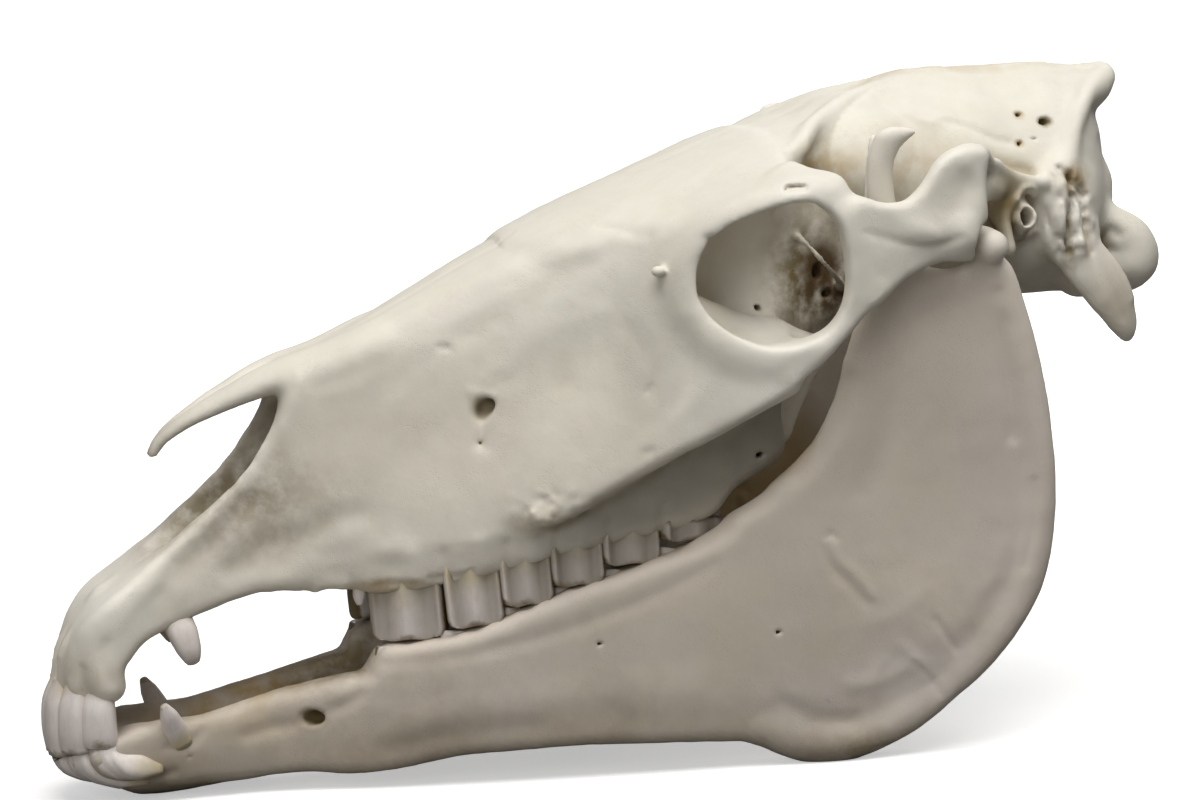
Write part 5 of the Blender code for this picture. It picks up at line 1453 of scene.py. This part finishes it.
def lower_front_teeth():
    """Lower incisors of one side, lying forward, and the pointed canine."""
    made = []
    incisors = ((13.0, 7.2, ((-247.6, 6.1, 21.4), (-245.5, 6.8, 18.2), (-239.0, 8.0, 15.5),
                             (-229.0, 9.0, 12.8), (-217.0, 8.5, 10.0))),
                (39.0, 7.2, ((-242.4, 17.0, 24.2), (-240.0, 18.4, 19.6), (-234.0, 20.3, 16.2),
                             (-225.0, 21.8, 13.2), (-214.0, 21.4, 10.2))),
                (66.0, 6.7, ((-232.8, 25.0, 28.2), (-231.2, 26.6, 22.6), (-226.0, 28.4, 19.6),
                             (-218.0, 29.0, 18.0), (-208.6, 27.0, 15.8))))
    for i, (angle, wide, path) in enumerate(incisors):
        out = ray(angle)
        sizes = ((wide, 4.9), (wide - 0.2, 5.4), (wide - 1.0, 5.9), (wide - 2.2, 5.6), (2.2, 2.0))
        made.append(front_tooth(f"incisor_low_{i}", path, sizes, (-out[1], out[0], 0.0)))
    path = ((-206.4, 31.2, 44.0), (-204.5, 29.4, 39.5), (-202.0, 26.4, 33.5), (-199.0, 22.5, 26.0))
    made.append(front_tooth("canine_low", path, ((1.9, 1.8), (3.9, 3.4), (5.0, 4.4), (5.6, 5.0)),
                            (1, 0, 0.4), groove=0.15, flat_tip=False))
    return made


# ------------------------------------------------------------------ finishes
def maths(tree, operation, a, b=0.0):
    return put(tree, "ShaderNodeMath", {0: a, 1: b}, operation=operation).outputs[0]


def times(tree, a, b):
    return maths(tree, "MULTIPLY", a, b)


def plus(tree, a, b):
    return maths(tree, "ADD", a, b)


def minus(tree, a, b):
    return maths(tree, "SUBTRACT", a, b)


def blend_colour(tree, factor, a, b):
    """From colour a to colour b; each is three numbers or a node's output."""
    a, b = (c if isinstance(c, bpy.types.NodeSocket) else (*c, 1) for c in (a, b))
    return put(tree, "ShaderNodeMix", {0: factor, 6: a, 7: b}, data_type="RGBA").outputs[2]


def tint(tree, base, mask, strength, colour):
    """Lay a colour over the base through a mask."""
    return blend_colour(tree, times(tree, mask, strength), base, colour)


def stretch(tree, value, low, high, to_low=0.0, to_high=1.0):
    return put(tree, "ShaderNodeMapRange", {"Value": value, "From Min": low, "From Max": high,
                                            "To Min": to_low, "To Max": to_high}).outputs[0]


def noise(tree, place, scale, detail=3.0, rough=0.55, warp=0.0):
    return put(tree, "ShaderNodeTexNoise", {"Vector": place, "Scale": scale, "Detail": detail,
                                            "Roughness": rough, "Distortion": warp}).outputs[0]


def new_group(name, ins, outs):
    """Empty shader node group: a place and the numbers ins (with defaults) give outs."""
    tree = bpy.data.node_groups.new(name, "ShaderNodeTree")
    socket = tree.interface.new_socket
    socket("Place", in_out="INPUT", socket_type="NodeSocketVector")
    for label, default in ins.items():
        socket(label, in_out="INPUT", socket_type="NodeSocketFloat").default_value = default
    for label in outs:
        socket(label, in_out="OUTPUT", socket_type="NodeSocketFloat")
    return tree, tree.nodes.new("NodeGroupInput").outputs, tree.nodes.new("NodeGroupOutput").inputs


def use_group(tree, make, name, ins):
    """Put a shared node group into a tree; it is made the first time."""
    group = bpy.data.node_groups.get(name) or make(name)
    return put(tree, "ShaderNodeGroup", ins, node_tree=group).outputs


def grain_group(name):
    """Mottling, pores and fine scratches of dry bone."""
    tree, i, o = new_group(name, {"Patch scale": 14.0, "Pore scale": 900.0},
                           ("Patches", "Specks", "Height"))
    link = tree.links.new
    place = i["Place"]
    patches = noise(tree, place, i["Patch scale"], 4.0, 0.55, 0.4)
    fine = noise(tree, place, times(tree, i["Patch scale"], 9.0), 3.0, 0.6)
    link(plus(tree, times(tree, patches, 0.7), times(tree, fine, 0.3)), o["Patches"])
    pores = put(tree, "ShaderNodeTexVoronoi", {"Vector": place, "Scale": i["Pore scale"]},
                feature="F1").outputs["Distance"]
    pits = stretch(tree, pores, 0.10, 0.32)
    gate = stretch(tree, noise(tree, place, 65.0, 2.0), 0.50, 0.66)
    specks = times(tree, minus(tree, 1.0, pits), gate)
    link(specks, o["Specks"])
    grain = noise(tree, place, 420.0, 4.0, 0.65)
    wave = noise(tree, place, 110.0, 3.0, 0.55)
    height = plus(tree, times(tree, grain, 0.35), times(tree, wave, 0.65))
    link(minus(tree, height, times(tree, specks, 0.6)), o["Height"])
    return tree


def stain_and_shade_group(name):
    """Dirt and painted shade in creases and deep places, and paler sharp edges, broken up by noise.
    """
    tree, i, o = new_group(name, {"Crease": 0.0, "Hollow": 0.0, "Depth": 0.0},
                           ("Line", "Shade", "Deep", "Edge"))
    link = tree.links.new
    rough = noise(tree, i["Place"], 60.0, 4.0, 0.6, 0.3)
    wander = times(tree, minus(tree, rough, 0.5), 0.35)
    link(stretch(tree, plus(tree, i["Crease"], wander), 0.14, 0.55), o["Line"])
    link(stretch(tree, plus(tree, i["Hollow"], wander), 0.05, 0.62), o["Shade"])
    link(stretch(tree, plus(tree, i["Depth"], wander), 0.12, 0.60), o["Deep"])
    link(stretch(tree, minus(tree, wander, i["Crease"]), 0.12, 0.5), o["Edge"])
    return tree


def attribute(tree, name):
    return put(tree, "ShaderNodeAttribute", attribute_name=name).outputs["Fac"]


def start_material(name):
    """New material with its tree, its shader and the place on the object."""
    material = bpy.data.materials.new(name)
    material.use_nodes = True
    tree = material.node_tree
    shader = tree.nodes["Principled BSDF"]
    place = tree.nodes.new("ShaderNodeTexCoord").outputs["Object"]
    return material, tree, shader, place


def spot(tree, place, centre, radii, soft=0.5):
    """Soft ellipsoidal mask round a place on the object (metres)."""
    moved = put(tree, "ShaderNodeMapping", {"Vector": place, "Location": centre,
                                            "Scale": radii}, vector_type="TEXTURE").outputs[0]
    far = put(tree, "ShaderNodeVectorMath", {0: moved}, operation="LENGTH").outputs["Value"]
    return stretch(tree, far, 1.0 + soft, 1.0 - soft)


def raise_surface(tree, shader, height, distance):
    """Let light fall as on a surface uneven by a height; distance in metres."""
    normal = put(tree, "ShaderNodeBump", {"Height": height, "Strength": 0.35,
                                          "Distance": distance}).outputs[0]
    tree.links.new(normal, shader.inputs["Normal"])


def fold(tree, place):
    """The place with both sides laid on one."""
    parts = put(tree, "ShaderNodeSeparateXYZ", {0: place}).outputs
    side = maths(tree, "ABSOLUTE", parts["Y"])
    return put(tree, "ShaderNodeCombineXYZ", {0: parts["X"], 1: side, 2: parts["Z"]}).outputs[0]


def bone_finish(name, colours, clean, lower_light_and_shade, spots, span=(0.30, 0.05)):
    """Dry cleaned bone: cream on top, painted light on the lower face and painted shade along the
    jaw's lower edge, with stains and painted shade in its hollows.
    """
    material, tree, shader, place = start_material(name)
    grain = use_group(tree, grain_group, "Bone grain", {"Place": place, "Patch scale": 14.0,
                                                        "Pore scale": 900.0})
    stain_and_shade = use_group(tree, stain_and_shade_group, "Hollow stains",
                      {"Place": place, "Crease": attribute(tree, "crease"),
                       "Hollow": attribute(tree, "hollow"), "Depth": attribute(tree, "depth")})
    height = put(tree, "ShaderNodeSeparateXYZ", {0: place}).outputs["Z"]
    # colour by height is painted light and shade: lighter low on the cranium, darker low on the jaw
    lower = stretch(tree, plus(tree, height, times(tree, grain["Patches"], 0.12)), *span)
    base = blend_colour(tree, lower, clean, lower_light_and_shade)
    patch = stretch(tree, grain["Patches"], 0.38, 0.64)
    cool = stretch(tree, noise(tree, place, 26.0, 4.0, 0.6, 0.5), 0.48, 0.70)
    for mask, strength, colour in ((patch, 0.34, colours.warm_tone_and_shade),
                                   (cool, 0.38, colours.cool_patch),
                                   # stains and painted shade in the hollows and creases
                                   (stain_and_shade["Shade"], 0.55, colours.pale_stain_and_shade),
                                   (stain_and_shade["Deep"], 0.75, colours.olive_stain_and_shade),
                                   (stain_and_shade["Line"], 0.70, colours.olive_stain_and_shade)):
        base = tint(tree, base, mask, strength, colour)
    folded = fold(tree, place)
    ragged = stretch(tree, noise(tree, place, 95.0, 4.0, 0.62), 0.28, 0.60)
    # spots of stain, painted light and painted shade
    for centre, radii, strength, colour, *soft in spots:
        mask = times(tree, spot(tree, folded, centre, radii, *soft), abs(strength))
        if strength > 0:
            mask = times(tree, mask, ragged)
        base = blend_colour(tree, mask, base, getattr(colours, colour))
    base = tint(tree, base, grain["Specks"], 0.16, colours.olive_stain_and_shade)
    base = tint(tree, base, stain_and_shade["Edge"], 0.25, colours.pale_wear_and_light)
    tree.links.new(base, shader.inputs["Base Color"])
    rough = stretch(tree, grain["Patches"], 0.3, 0.7, 0.50, 0.68)
    rough = plus(tree, rough, times(tree, stain_and_shade["Deep"], 0.15))
    tree.links.new(rough, shader.inputs["Roughness"])
    shader.inputs["Specular IOR Level"].default_value = 0.35
    raise_surface(tree, shader, grain["Height"], 0.0006)
    return material


def enamel_finish(name, colours, gum):
    """Enamel with upright streaks, yellow cement toward the gum, darker seams and chewing ends, and
    painted shade on the rear cheek teeth and in the furrows.
    """
    material, tree, shader, place = start_material(name)
    crown = attribute(tree, "crown")
    thin = put(tree, "ShaderNodeMapping", {"Vector": place, "Scale": (1.0, 1.0, 0.42)}).outputs[0]
    streak = noise(tree, thin, 260.0, 4.0, 0.62, 0.8)
    patch = noise(tree, place, 120.0, 3.0, 0.6)
    fade = plus(tree, crown, times(tree, minus(tree, patch, 0.5), 0.5))
    darkening = times(tree, stretch(tree, streak, 0.42, 0.72), 0.42)
    base = blend_colour(tree, darkening, colours.enamel, colours.enamel_dark)
    base = tint(tree, base, stretch(tree, fade, *gum), 0.85, colours.cement)
    # painted shadow of the facial crest: the rear cheek teeth are darker
    along = put(tree, "ShaderNodeSeparateXYZ", {0: place}).outputs["X"]
    base = blend_colour(tree, stretch(tree, along, -0.066, -0.040, 0.0, 0.42), base,
                        colours.painted_shade_grey)
    # painted shade in the furrows and on the upper canine
    base = tint(tree, base, attribute(tree, "furrow_shade"), 0.55, colours.painted_shade_grey)
    base = blend_colour(tree, stretch(tree, fade, 0.05, -0.12), base, colours.olive_stain_and_shade)
    tree.links.new(base, shader.inputs["Base Color"])
    tree.links.new(stretch(tree, fade, 0.2, 0.8, 0.30, 0.55), shader.inputs["Roughness"])
    height = plus(tree, times(tree, streak, 0.6), times(tree, noise(tree, place, 600.0, 3.0), 0.4))
    raise_surface(tree, shader, height, 0.0005)
    return material


# Stains, worn spots, painted light and painted shade, laid on both sides: centre and radii in
# metres, strength (minus: laid on evenly, otherwise ragged), colour setting and, if it isn't the
# usual one, softness of the edge.
CRANIUM_SPOTS = (
    # painted light on the inner wall of the orbit
    ((0.060, 0.046, 0.216), (0.036, 0.024, 0.030), -0.60, "pale_wear_and_light"),
    # stain and painted shade deep in the orbit
    ((0.086, 0.048, 0.208), (0.019, 0.030, 0.030), 0.95, "olive_stain_and_shade"),
    ((0.092, 0.042, 0.216), (0.009, 0.030, 0.010), -0.90, "orbit_brown_and_shade", 0.35),
    ((0.097, 0.042, 0.205), (0.015, 0.030, 0.013), 1.00, "orbit_brown_and_shade"),
    ((0.036, 0.066, 0.209), (0.013, 0.016, 0.008), 0.35, "tan_stain_and_shade"),
    # painted shade in the recess in front of the ear and under the ear tube
    ((0.168, 0.064, 0.236), (0.006, 0.024, 0.018), -0.90, "olive_stain_and_shade"),
    ((0.180, 0.056, 0.2245), (0.006, 0.014, 0.005), 0.90, "olive_stain_and_shade"),
    # painted shade on the wall under the facial crest
    ((-0.022, 0.060, 0.1100), (0.024, 0.020, 0.011), -0.50, "painted_shade_grey"),
    ((0.006, 0.062, 0.1200), (0.026, 0.020, 0.013), -0.62, "painted_shade_grey"),
    ((0.036, 0.062, 0.1340), (0.026, 0.020, 0.018), -0.66, "painted_shade_grey"),
    ((0.062, 0.056, 0.1540), (0.022, 0.020, 0.022), -0.66, "painted_shade_grey"),
    ((-0.045, 0.064, 0.1160), (0.010, 0.012, 0.006), 0.70, "pale_stain_and_shade"),
    # painted shade in small vessel openings
    ((0.198, 0.038, 0.2725), (0.0032, 0.010, 0.0022), 1.00, "olive_stain_and_shade"),
    ((0.187, 0.036, 0.2760), (0.0022, 0.010, 0.0018), 0.80, "tan_stain_and_shade"),
    ((0.184, 0.044, 0.2640), (0.0020, 0.010, 0.0016), 0.80, "tan_stain_and_shade"),
    # painted light on the mastoid part
    ((0.205, 0.058, 0.232), (0.016, 0.020, 0.024), -0.80, "pale_wear_and_light"),
    ((0.206, 0.052, 0.247), (0.009, 0.014, 0.007), 0.90, "tan_stain_and_shade"),
    ((0.202, 0.052, 0.226), (0.0035, 0.014, 0.018), 0.95, "olive_stain_and_shade"),
    ((0.210, 0.052, 0.222), (0.0035, 0.014, 0.014), 0.60, "tan_stain_and_shade"),
    ((0.222, 0.048, 0.205), (0.016, 0.016, 0.026), 0.45, "cool_patch"),
    ((0.170, 0.060, 0.244), (0.012, 0.022, 0.014), 0.45, "tan_stain_and_shade"),
    # painted shade inside the infraorbital opening
    ((-0.0635, 0.034, 0.1655), (0.0060, 0.012, 0.0060), -1.00, "olive_stain_and_shade"),
    # painted shade on the side of the face
    ((-0.031, 0.056, 0.191), (0.030, 0.026, 0.014), -0.20, "painted_shade_grey"),
    ((0.001, 0.073, 0.186), (0.013, 0.020, 0.024), -0.24, "painted_shade_grey"),
    ((-0.100, 0.034, 0.170), (0.060, 0.026, 0.018), -0.20, "painted_shade_grey"),
    ((0.105, 0.100, 0.232), (0.030, 0.020, 0.016), 0.30, "cool_patch"),
    ((0.090, 0.050, 0.256), (0.014, 0.020, 0.012), 0.85, "tan_stain_and_shade"),
    ((0.128, 0.050, 0.250), (0.030, 0.022, 0.026), 0.40, "tan_stain_and_shade"),
    ((0.165, 0.000, 0.293), (0.050, 0.007, 0.005), 0.60, "tan_stain_and_shade"),
    # painted shade inside the nasal cavity
    ((-0.158, 0.004, 0.130), (0.060, 0.0235, 0.028), 1.00, "olive_stain_and_shade"),
    ((-0.105, 0.038, 0.089), (0.018, 0.010, 0.0035), 0.75, "tan_stain_and_shade"),
    ((-0.240, 0.016, 0.058), (0.022, 0.032, 0.012), 0.30, "pale_stain_and_shade"),
    # painted shade on the paracondylar process
    ((0.224, 0.050, 0.192), (0.012, 0.016, 0.022), -0.40, "pale_stain_and_shade"),
    # painted shade on the side of the face
    ((-0.085, 0.036, 0.150), (0.045, 0.026, 0.026), -0.35, "warm_tone_and_shade"),
    ((-0.020, 0.064, 0.165), (0.040, 0.026, 0.022), -0.25, "warm_tone_and_shade"),
    # painted light on the orbit floor and below the orbit
    ((0.046, 0.074, 0.188), (0.024, 0.018, 0.009), -0.80, "pale_wear_and_light"),
    ((0.062, 0.100, 0.176), (0.034, 0.018, 0.015), -0.90, "pale_wear_and_light"),
    # painted light on the premaxilla
    ((-0.226, 0.028, 0.086), (0.018, 0.026, 0.018), -0.60, "pale_wear_and_light"),
    # painted light on the mastoid ridges
    ((0.1915, 0.056, 0.233), (0.0038, 0.014, 0.014), -0.85, "pale_wear_and_light"),
    ((0.2060, 0.052, 0.229), (0.0030, 0.014, 0.013), -0.75, "pale_wear_and_light"),
)
JAW_SPOTS = (
    ((-0.160, 0.000, 0.038), (0.058, 0.0215, 0.022), 0.95, "tan_stain_and_shade"),
    # painted shade between the two halves of the jaw
    ((-0.122, 0.010, 0.052), (0.026, 0.020, 0.020), 0.80, "olive_stain_and_shade"),
    # painted shade on the inner face of the ramus
    ((0.105, 0.045, 0.125), (0.060, 0.029, 0.075), -0.90, "tan_stain_and_shade", 0.08),
    # painted shade where the jaw rests on the floor
    ((0.098, 0.064, 0.004), (0.022, 0.020, 0.009), 0.60, "olive_stain_and_shade"),
    # painted shade inside the opening for the nerve
    ((-0.141, 0.026, 0.032), (0.007, 0.006, 0.005), 0.90, "olive_stain_and_shade"),
    ((0.108, 0.074, 0.255), (0.020, 0.020, 0.048), -0.95, "cranium_top"),
    ((0.153, 0.078, 0.228), (0.018, 0.024, 0.013), -0.60, "cranium_top"),
    # painted shade on the ramus under the cheek
    ((0.040, 0.070, 0.060), (0.070, 0.030, 0.030), -0.20, "warm_tone_and_shade"),
    ((0.092, 0.084, 0.120), (0.026, 0.016, 0.040), -0.12, "warm_tone_and_shade"),
    ((0.160, 0.084, 0.120), (0.018, 0.016, 0.060), -0.45, "cool_patch"),
    ((0.118, 0.074, 0.038), (0.026, 0.016, 0.018), -0.55, "cool_patch"),
    ((0.070, 0.070, 0.030), (0.022, 0.016, 0.012), -0.50, "cool_patch"),
    # painted shade along the underside of the jaw
    ((-0.060, 0.045, 0.010), (0.150, 0.040, 0.020), -0.28, "olive_stain_and_shade"),
    ((-0.205, 0.012, 0.012), (0.040, 0.034, 0.018), -0.22, "olive_stain_and_shade"),
)


def floor_finish(colour):
    """Pale matt paper, seen lighter than the light it throws back on the object."""
    material, tree, shader, place = start_material("Pale floor")
    speck = stretch(tree, noise(tree, place, 35.0, 2.0), 0.3, 0.7, 0.985, 1.0)
    seen = put(tree, "ShaderNodeLightPath").outputs["Is Camera Ray"]
    shade = put(tree, "ShaderNodeHueSaturation", {"Color": (*colour, 1),
                                                  "Value": speck}).outputs[0]
    base = blend_colour(tree, seen, (0.14, 0.135, 0.125), shade)
    tree.links.new(base, shader.inputs["Base Color"])
    glow = blend_colour(tree, seen, (0, 0, 0), (1, 1, 1))
    tree.links.new(glow, shader.inputs["Emission Color"])
    away = put(tree, "ShaderNodeVectorMath", {0: place}, operation="LENGTH").outputs["Value"]
    tree.links.new(stretch(tree, away, 0.3, 1.6, 0.45, 1.1), shader.inputs["Emission Strength"])
    shader.inputs["Roughness"].default_value = 0.9
    shader.inputs["Specular IOR Level"].default_value = 0.1
    return material


# ------------------------------------------------------------------ settings shown to the user
class SkullSizes(bpy.types.PropertyGroup):
    """Sizes that a user may change."""
    grid_step: FloatProperty(
        name="Grid step", description="Spacing, in millimetres, of the grid the bone is made on",
        default=1.3, min=0.7, max=3.0)
    relief: FloatProperty(
        name="Relief", description="Height, in millimetres, of the uneven skin of the bone",
        default=0.45, min=0.0, max=1.5)
    cranium_triangles: IntProperty(
        name="Cranium triangles", description="Triangles left in the cranium's mesh",
        default=194000, min=20000, max=198000)
    jaw_triangles: IntProperty(
        name="Jaw triangles", description="Triangles left in the lower jaw's mesh",
        default=150000, min=20000, max=198000)
    camera_distance: FloatProperty(
        name="Camera distance", description="Distance from the camera to the middle of the skull",
        default=CAMERA_AWAY, min=0.5, max=5.0, subtype="DISTANCE", unit="LENGTH")


def colour_property(name, description, default):
    """A colour that the user may change."""
    return FloatVectorProperty(name=name, description=description, default=default,
                               subtype="COLOR", size=3, min=0.0, max=1.0)


class SkullColours(bpy.types.PropertyGroup):
    """Colours that a user may change."""
    cranium_top: colour_property("Cranium", "Clean bone of the upper skull", (0.76, 0.735, 0.65))
    # painted light: the lower face is coloured lighter than the top
    cranium_low: colour_property("Lower face", "Lower face made lighter, painted light", (0.85, 0.795, 0.705))
    jaw_top: colour_property("Jaw", "Bone of the upper part of the lower jaw", (0.76, 0.68, 0.59))
    # painted shade: the jaw darkens toward the floor
    jaw_low_shade: colour_property("Lower edge of the jaw", "Painted shade along the floor", (0.31, 0.262, 0.22))
    # yellower tone at random, and painted shade on the face and the ramus
    warm_tone_and_shade: colour_property("Warm patches and shade", "Slightly yellower patches", (0.62, 0.56, 0.45))
    cool_patch: colour_property("Cool patches", "Greyish lilac patches", (0.66, 0.61, 0.575))
    # stain and painted shade in shallow hollows, and painted shade on the paracondylar process
    pale_stain_and_shade: colour_property("Pale stain and shade", "Tan of shallow hollows, stain and painted shade", (0.46, 0.38, 0.25))
    # stain and painted shade: deep hollows, openings and undersides, and real seams and pores
    olive_stain_and_shade: colour_property("Olive stain and shade", "Olive brown of deep hollows",
                                 (0.20, 0.145, 0.055))
    # stain and painted shade deep in the orbit
    orbit_brown_and_shade: colour_property("Orbit brown and shade", "Dark brown deep in the orbit",
                                 (0.085, 0.048, 0.018))
    # painted shade under the facial crest, on the face and on the teeth
    painted_shade_grey: colour_property("Painted wall shade", "Painted shade on the wall over the teeth, the face and the teeth",
                                (0.25, 0.225, 0.18))
    # stains at seams and edges, and painted shade in small openings and on the inner ramus
    tan_stain_and_shade: colour_property("Tan stain and shade", "Yellow brown at seams and edges",
                               (0.44, 0.31, 0.13))
    # paler sharp edges, and painted light on the orbit, the mastoid and the premaxilla
    pale_wear_and_light: colour_property("Worn and lit edges", "Paler edges and painted light", (0.88, 0.85, 0.77))
    enamel: colour_property("Enamel", "Pale lilac-grey enamel", (0.76, 0.70, 0.665))
    enamel_dark: colour_property("Enamel streaks", "Darker streaks", (0.56, 0.51, 0.475))
    cement: colour_property("Cement", "Yellowish cement near the gum", (0.58, 0.49, 0.31))
    floor: colour_property("Floor", "Plain pale floor", (0.90, 0.90, 0.90))


def settings(context):
    """The sizes and colours that the user may change."""
    return context.scene.skull_sizes, context.scene.skull_colours


def finish_piece(piece, material, replaced=None):
    """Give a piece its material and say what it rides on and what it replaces."""
    piece.data.materials.clear()
    piece.data.materials.append(material)
    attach(piece, "root")
    if replaced:
        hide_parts(replaced)


# ------------------------------------------------------------------ operators
class SKULL_OT_cranium(bpy.types.Operator):
    """Build the cranium with its openings, ridges and bone finish"""
    bl_idname = "skull.add_cranium"
    bl_label = "Cranium"

    def execute(self, context):
        sizes, colours = settings(context)
        fields = bone_fields(sizes.grid_step, sizes.relief)
        piece = bone_piece("cranium_bone", fields["cranium"], sizes.cranium_triangles,
                           block(*FAR_TIP, edge=2.0))
        # the cranium's lower face gets painted light
        bone = bone_finish("Cranium bone", colours, colours.cranium_top, colours.cranium_low,
                           CRANIUM_SPOTS)
        finish_piece(piece, bone, "cranium")
        return {"FINISHED"}


class SKULL_OT_mandible(bpy.types.Operator):
    """Build the lower jaw with its ridges and bone finish"""
    bl_idname = "skull.add_mandible"
    bl_label = "Lower jaw"

    def execute(self, context):
        sizes, colours = settings(context)
        fields = bone_fields(sizes.grid_step, sizes.relief)
        piece = bone_piece("mandible_bone", fields["mandible"], sizes.jaw_triangles)
        # the jaw's lower edge gets painted shade
        bone = bone_finish("Jaw bone", colours, colours.jaw_top, colours.jaw_low_shade, JAW_SPOTS,
                           (0.15, 0.03))
        finish_piece(piece, bone, "mandible")
        return {"FINISHED"}


class SKULL_OT_cheek_teeth(bpy.types.Operator):
    """Set the rows of cheek teeth into both jaws"""
    bl_idname = "skull.add_cheek_teeth"
    bl_label = "Cheek teeth"

    def execute(self, context):
        colours = settings(context)[1]
        enamel = enamel_finish("Cheek tooth enamel", colours, (0.34, 0.66))
        for name, table, middle, upper in (
                ("upper_cheek_teeth", UPPER_CHEEK, row_middle_upper, 1),
                ("lower_cheek_teeth", LOWER_CHEEK, row_middle_lower, 0)):
            finish_piece(tooth_row(name, table, middle, upper, enamel), enamel)
        return {"FINISHED"}


class SKULL_OT_front_teeth(bpy.types.Operator):
    """Set the incisors, canines and wolf teeth"""
    bl_idname = "skull.add_front_teeth"
    bl_label = "Front teeth"

    def execute(self, context):
        colours = settings(context)[1]
        enamel = enamel_finish("Front tooth enamel", colours, (0.55, 0.85))
        for name, made in (("upper_front_teeth", upper_front_teeth()),
                           ("lower_front_teeth", lower_front_teeth())):
            piece = joined(name, made + [mirrored(mesh) for mesh in made])
            finish_piece(piece, enamel)
        return {"FINISHED"}


class SKULL_OT_stage(bpy.types.Operator):
    """Add the pale floor, soft lights and the camera"""
    bl_idname = "skull.add_stage"
    bl_label = "Stage"

    def execute(self, context):
        sizes, colours = settings(context)
        add_floor(colours)
        add_lights()
        add_camera(sizes.camera_distance)
        return {"FINISHED"}


def add_floor(colours):
    """Plain floor just under the resting points."""
    mesh = bpy.data.meshes.new("floor")
    with edited(mesh) as bm:
        bmesh.ops.create_grid(bm, x_segments=8, y_segments=8, size=FLOOR_SIZE)
    mesh.transform(Matrix.Translation((0, 0, -FLOOR_DROP)))
    mesh.materials.append(floor_finish(colours.floor))
    floor = new_object("floor", mesh)


# a wide soft light overhead, weaker ones from the camera's left and from behind:
# place, height of the place it is aimed at, width and depth, power, colour
LIGHTS = {"overhead": ((0.1, -0.65, 2.15), 0.15, (2.2, 1.6), 51.0, (1.0, 0.99, 0.97)),
          "side_fill": ((-1.6, -2.2, 1.1), 0.12, (1.8, 1.4), 18.0, (1.0, 0.98, 0.96)),
          "back_fill": ((1.3, 2.3, 1.1), 0.12, (1.8, 1.4), 9.0, (1.0, 0.99, 0.98))}


def add_lights():
    """The lights and a dim surround."""
    for name, (place, aim, size, power, colour) in LIGHTS.items():
        lamp = bpy.data.lights.new(name, "AREA")
        lamp.shape = "RECTANGLE"
        lamp.size, lamp.size_y = size
        lamp.energy = power
        lamp.color = colour
        holder = new_object(name, lamp)
        holder.location = place
        sight = Vector((0.0, 0.0, aim)) - Vector(place)
        holder.rotation_euler = sight.to_track_quat("-Z", "Y").to_euler()
    world = bpy.data.worlds.new("Soft room")
    world.use_nodes = True
    tree = world.node_tree
    ground = tree.nodes["Background"]
    ground.inputs["Color"].default_value = (1.0, 1.0, 1.0, 1.0)
    seen = put(tree, "ShaderNodeLightPath").outputs["Is Camera Ray"]
    tree.links.new(stretch(tree, seen, 0.0, 1.0, 0.15, 1.0), ground.inputs["Strength"])
    bpy.context.scene.world = world
    bpy.context.scene.view_settings.view_transform = "Standard"


def add_camera(distance):
    """Camera a little above the skull and turned toward its nose."""
    turned, raised, rolled = np.radians((CAMERA_TURN, CAMERA_RISE, CAMERA_ROLL))
    ahead = np.array([np.cos(raised) * np.sin(turned), np.cos(raised) * np.cos(turned),
                      -np.sin(raised)])
    right = np.array([np.cos(turned), -np.sin(turned), 0.0])
    up = np.cross(right, ahead)
    across = np.cos(rolled) * right - np.sin(rolled) * up
    upward = np.sin(rolled) * right + np.cos(rolled) * up
    eye = np.array(CAMERA_AIM) - ahead * distance
    lens = bpy.data.cameras.new("camera")
    lens.sensor_width = 36.0
    lens.lens = CAMERA_LENS * distance / CAMERA_AWAY
    lens.clip_end = 60.0
    camera = new_object("camera", lens)
    m = Matrix.Identity(4)
    for column, axis in enumerate((across, upward, -ahead, eye)):
        for r in range(3):
            m[r][column] = axis[r]
    camera.matrix_world = m
    bpy.context.scene.camera = camera


class SKULL_PT_panel(bpy.types.Panel):
    """Sizes, colours and building steps of the horse skull"""
    bl_idname = "SKULL_PT_panel"
    bl_label = "Horse skull"
    bl_space_type = "VIEW_3D"
    bl_region_type = "UI"
    bl_category = "Horse skull"

    def draw(self, context):
        sizes, colours = settings(context)
        for group in (sizes, colours):
            box = self.layout.box()
            for name in group.__annotations__:
                box.prop(group, name)
        for operator in OPERATORS:
            self.layout.operator(operator.bl_idname)


OPERATORS = (SKULL_OT_cranium, SKULL_OT_mandible, SKULL_OT_cheek_teeth, SKULL_OT_front_teeth,
             SKULL_OT_stage)
CLASSES = (SkullSizes, SkullColours) + OPERATORS + (SKULL_PT_panel,)


def register():
    for cls in CLASSES:
        bpy.utils.register_class(cls)
    bpy.types.Scene.skull_sizes = PointerProperty(type=SkullSizes)
    bpy.types.Scene.skull_colours = PointerProperty(type=SkullColours)


def unregister():
    del bpy.types.Scene.skull_colours
    del bpy.types.Scene.skull_sizes
    for cls in reversed(CLASSES):
        bpy.utils.unregister_class(cls)


def main():
    register()
    bpy.ops.skull.add_cranium()
    bpy.ops.skull.add_mandible()
    bpy.ops.skull.add_cheek_teeth()
    bpy.ops.skull.add_front_teeth()
    bpy.ops.skull.add_stage()


if __name__ == "__main__":
    main()
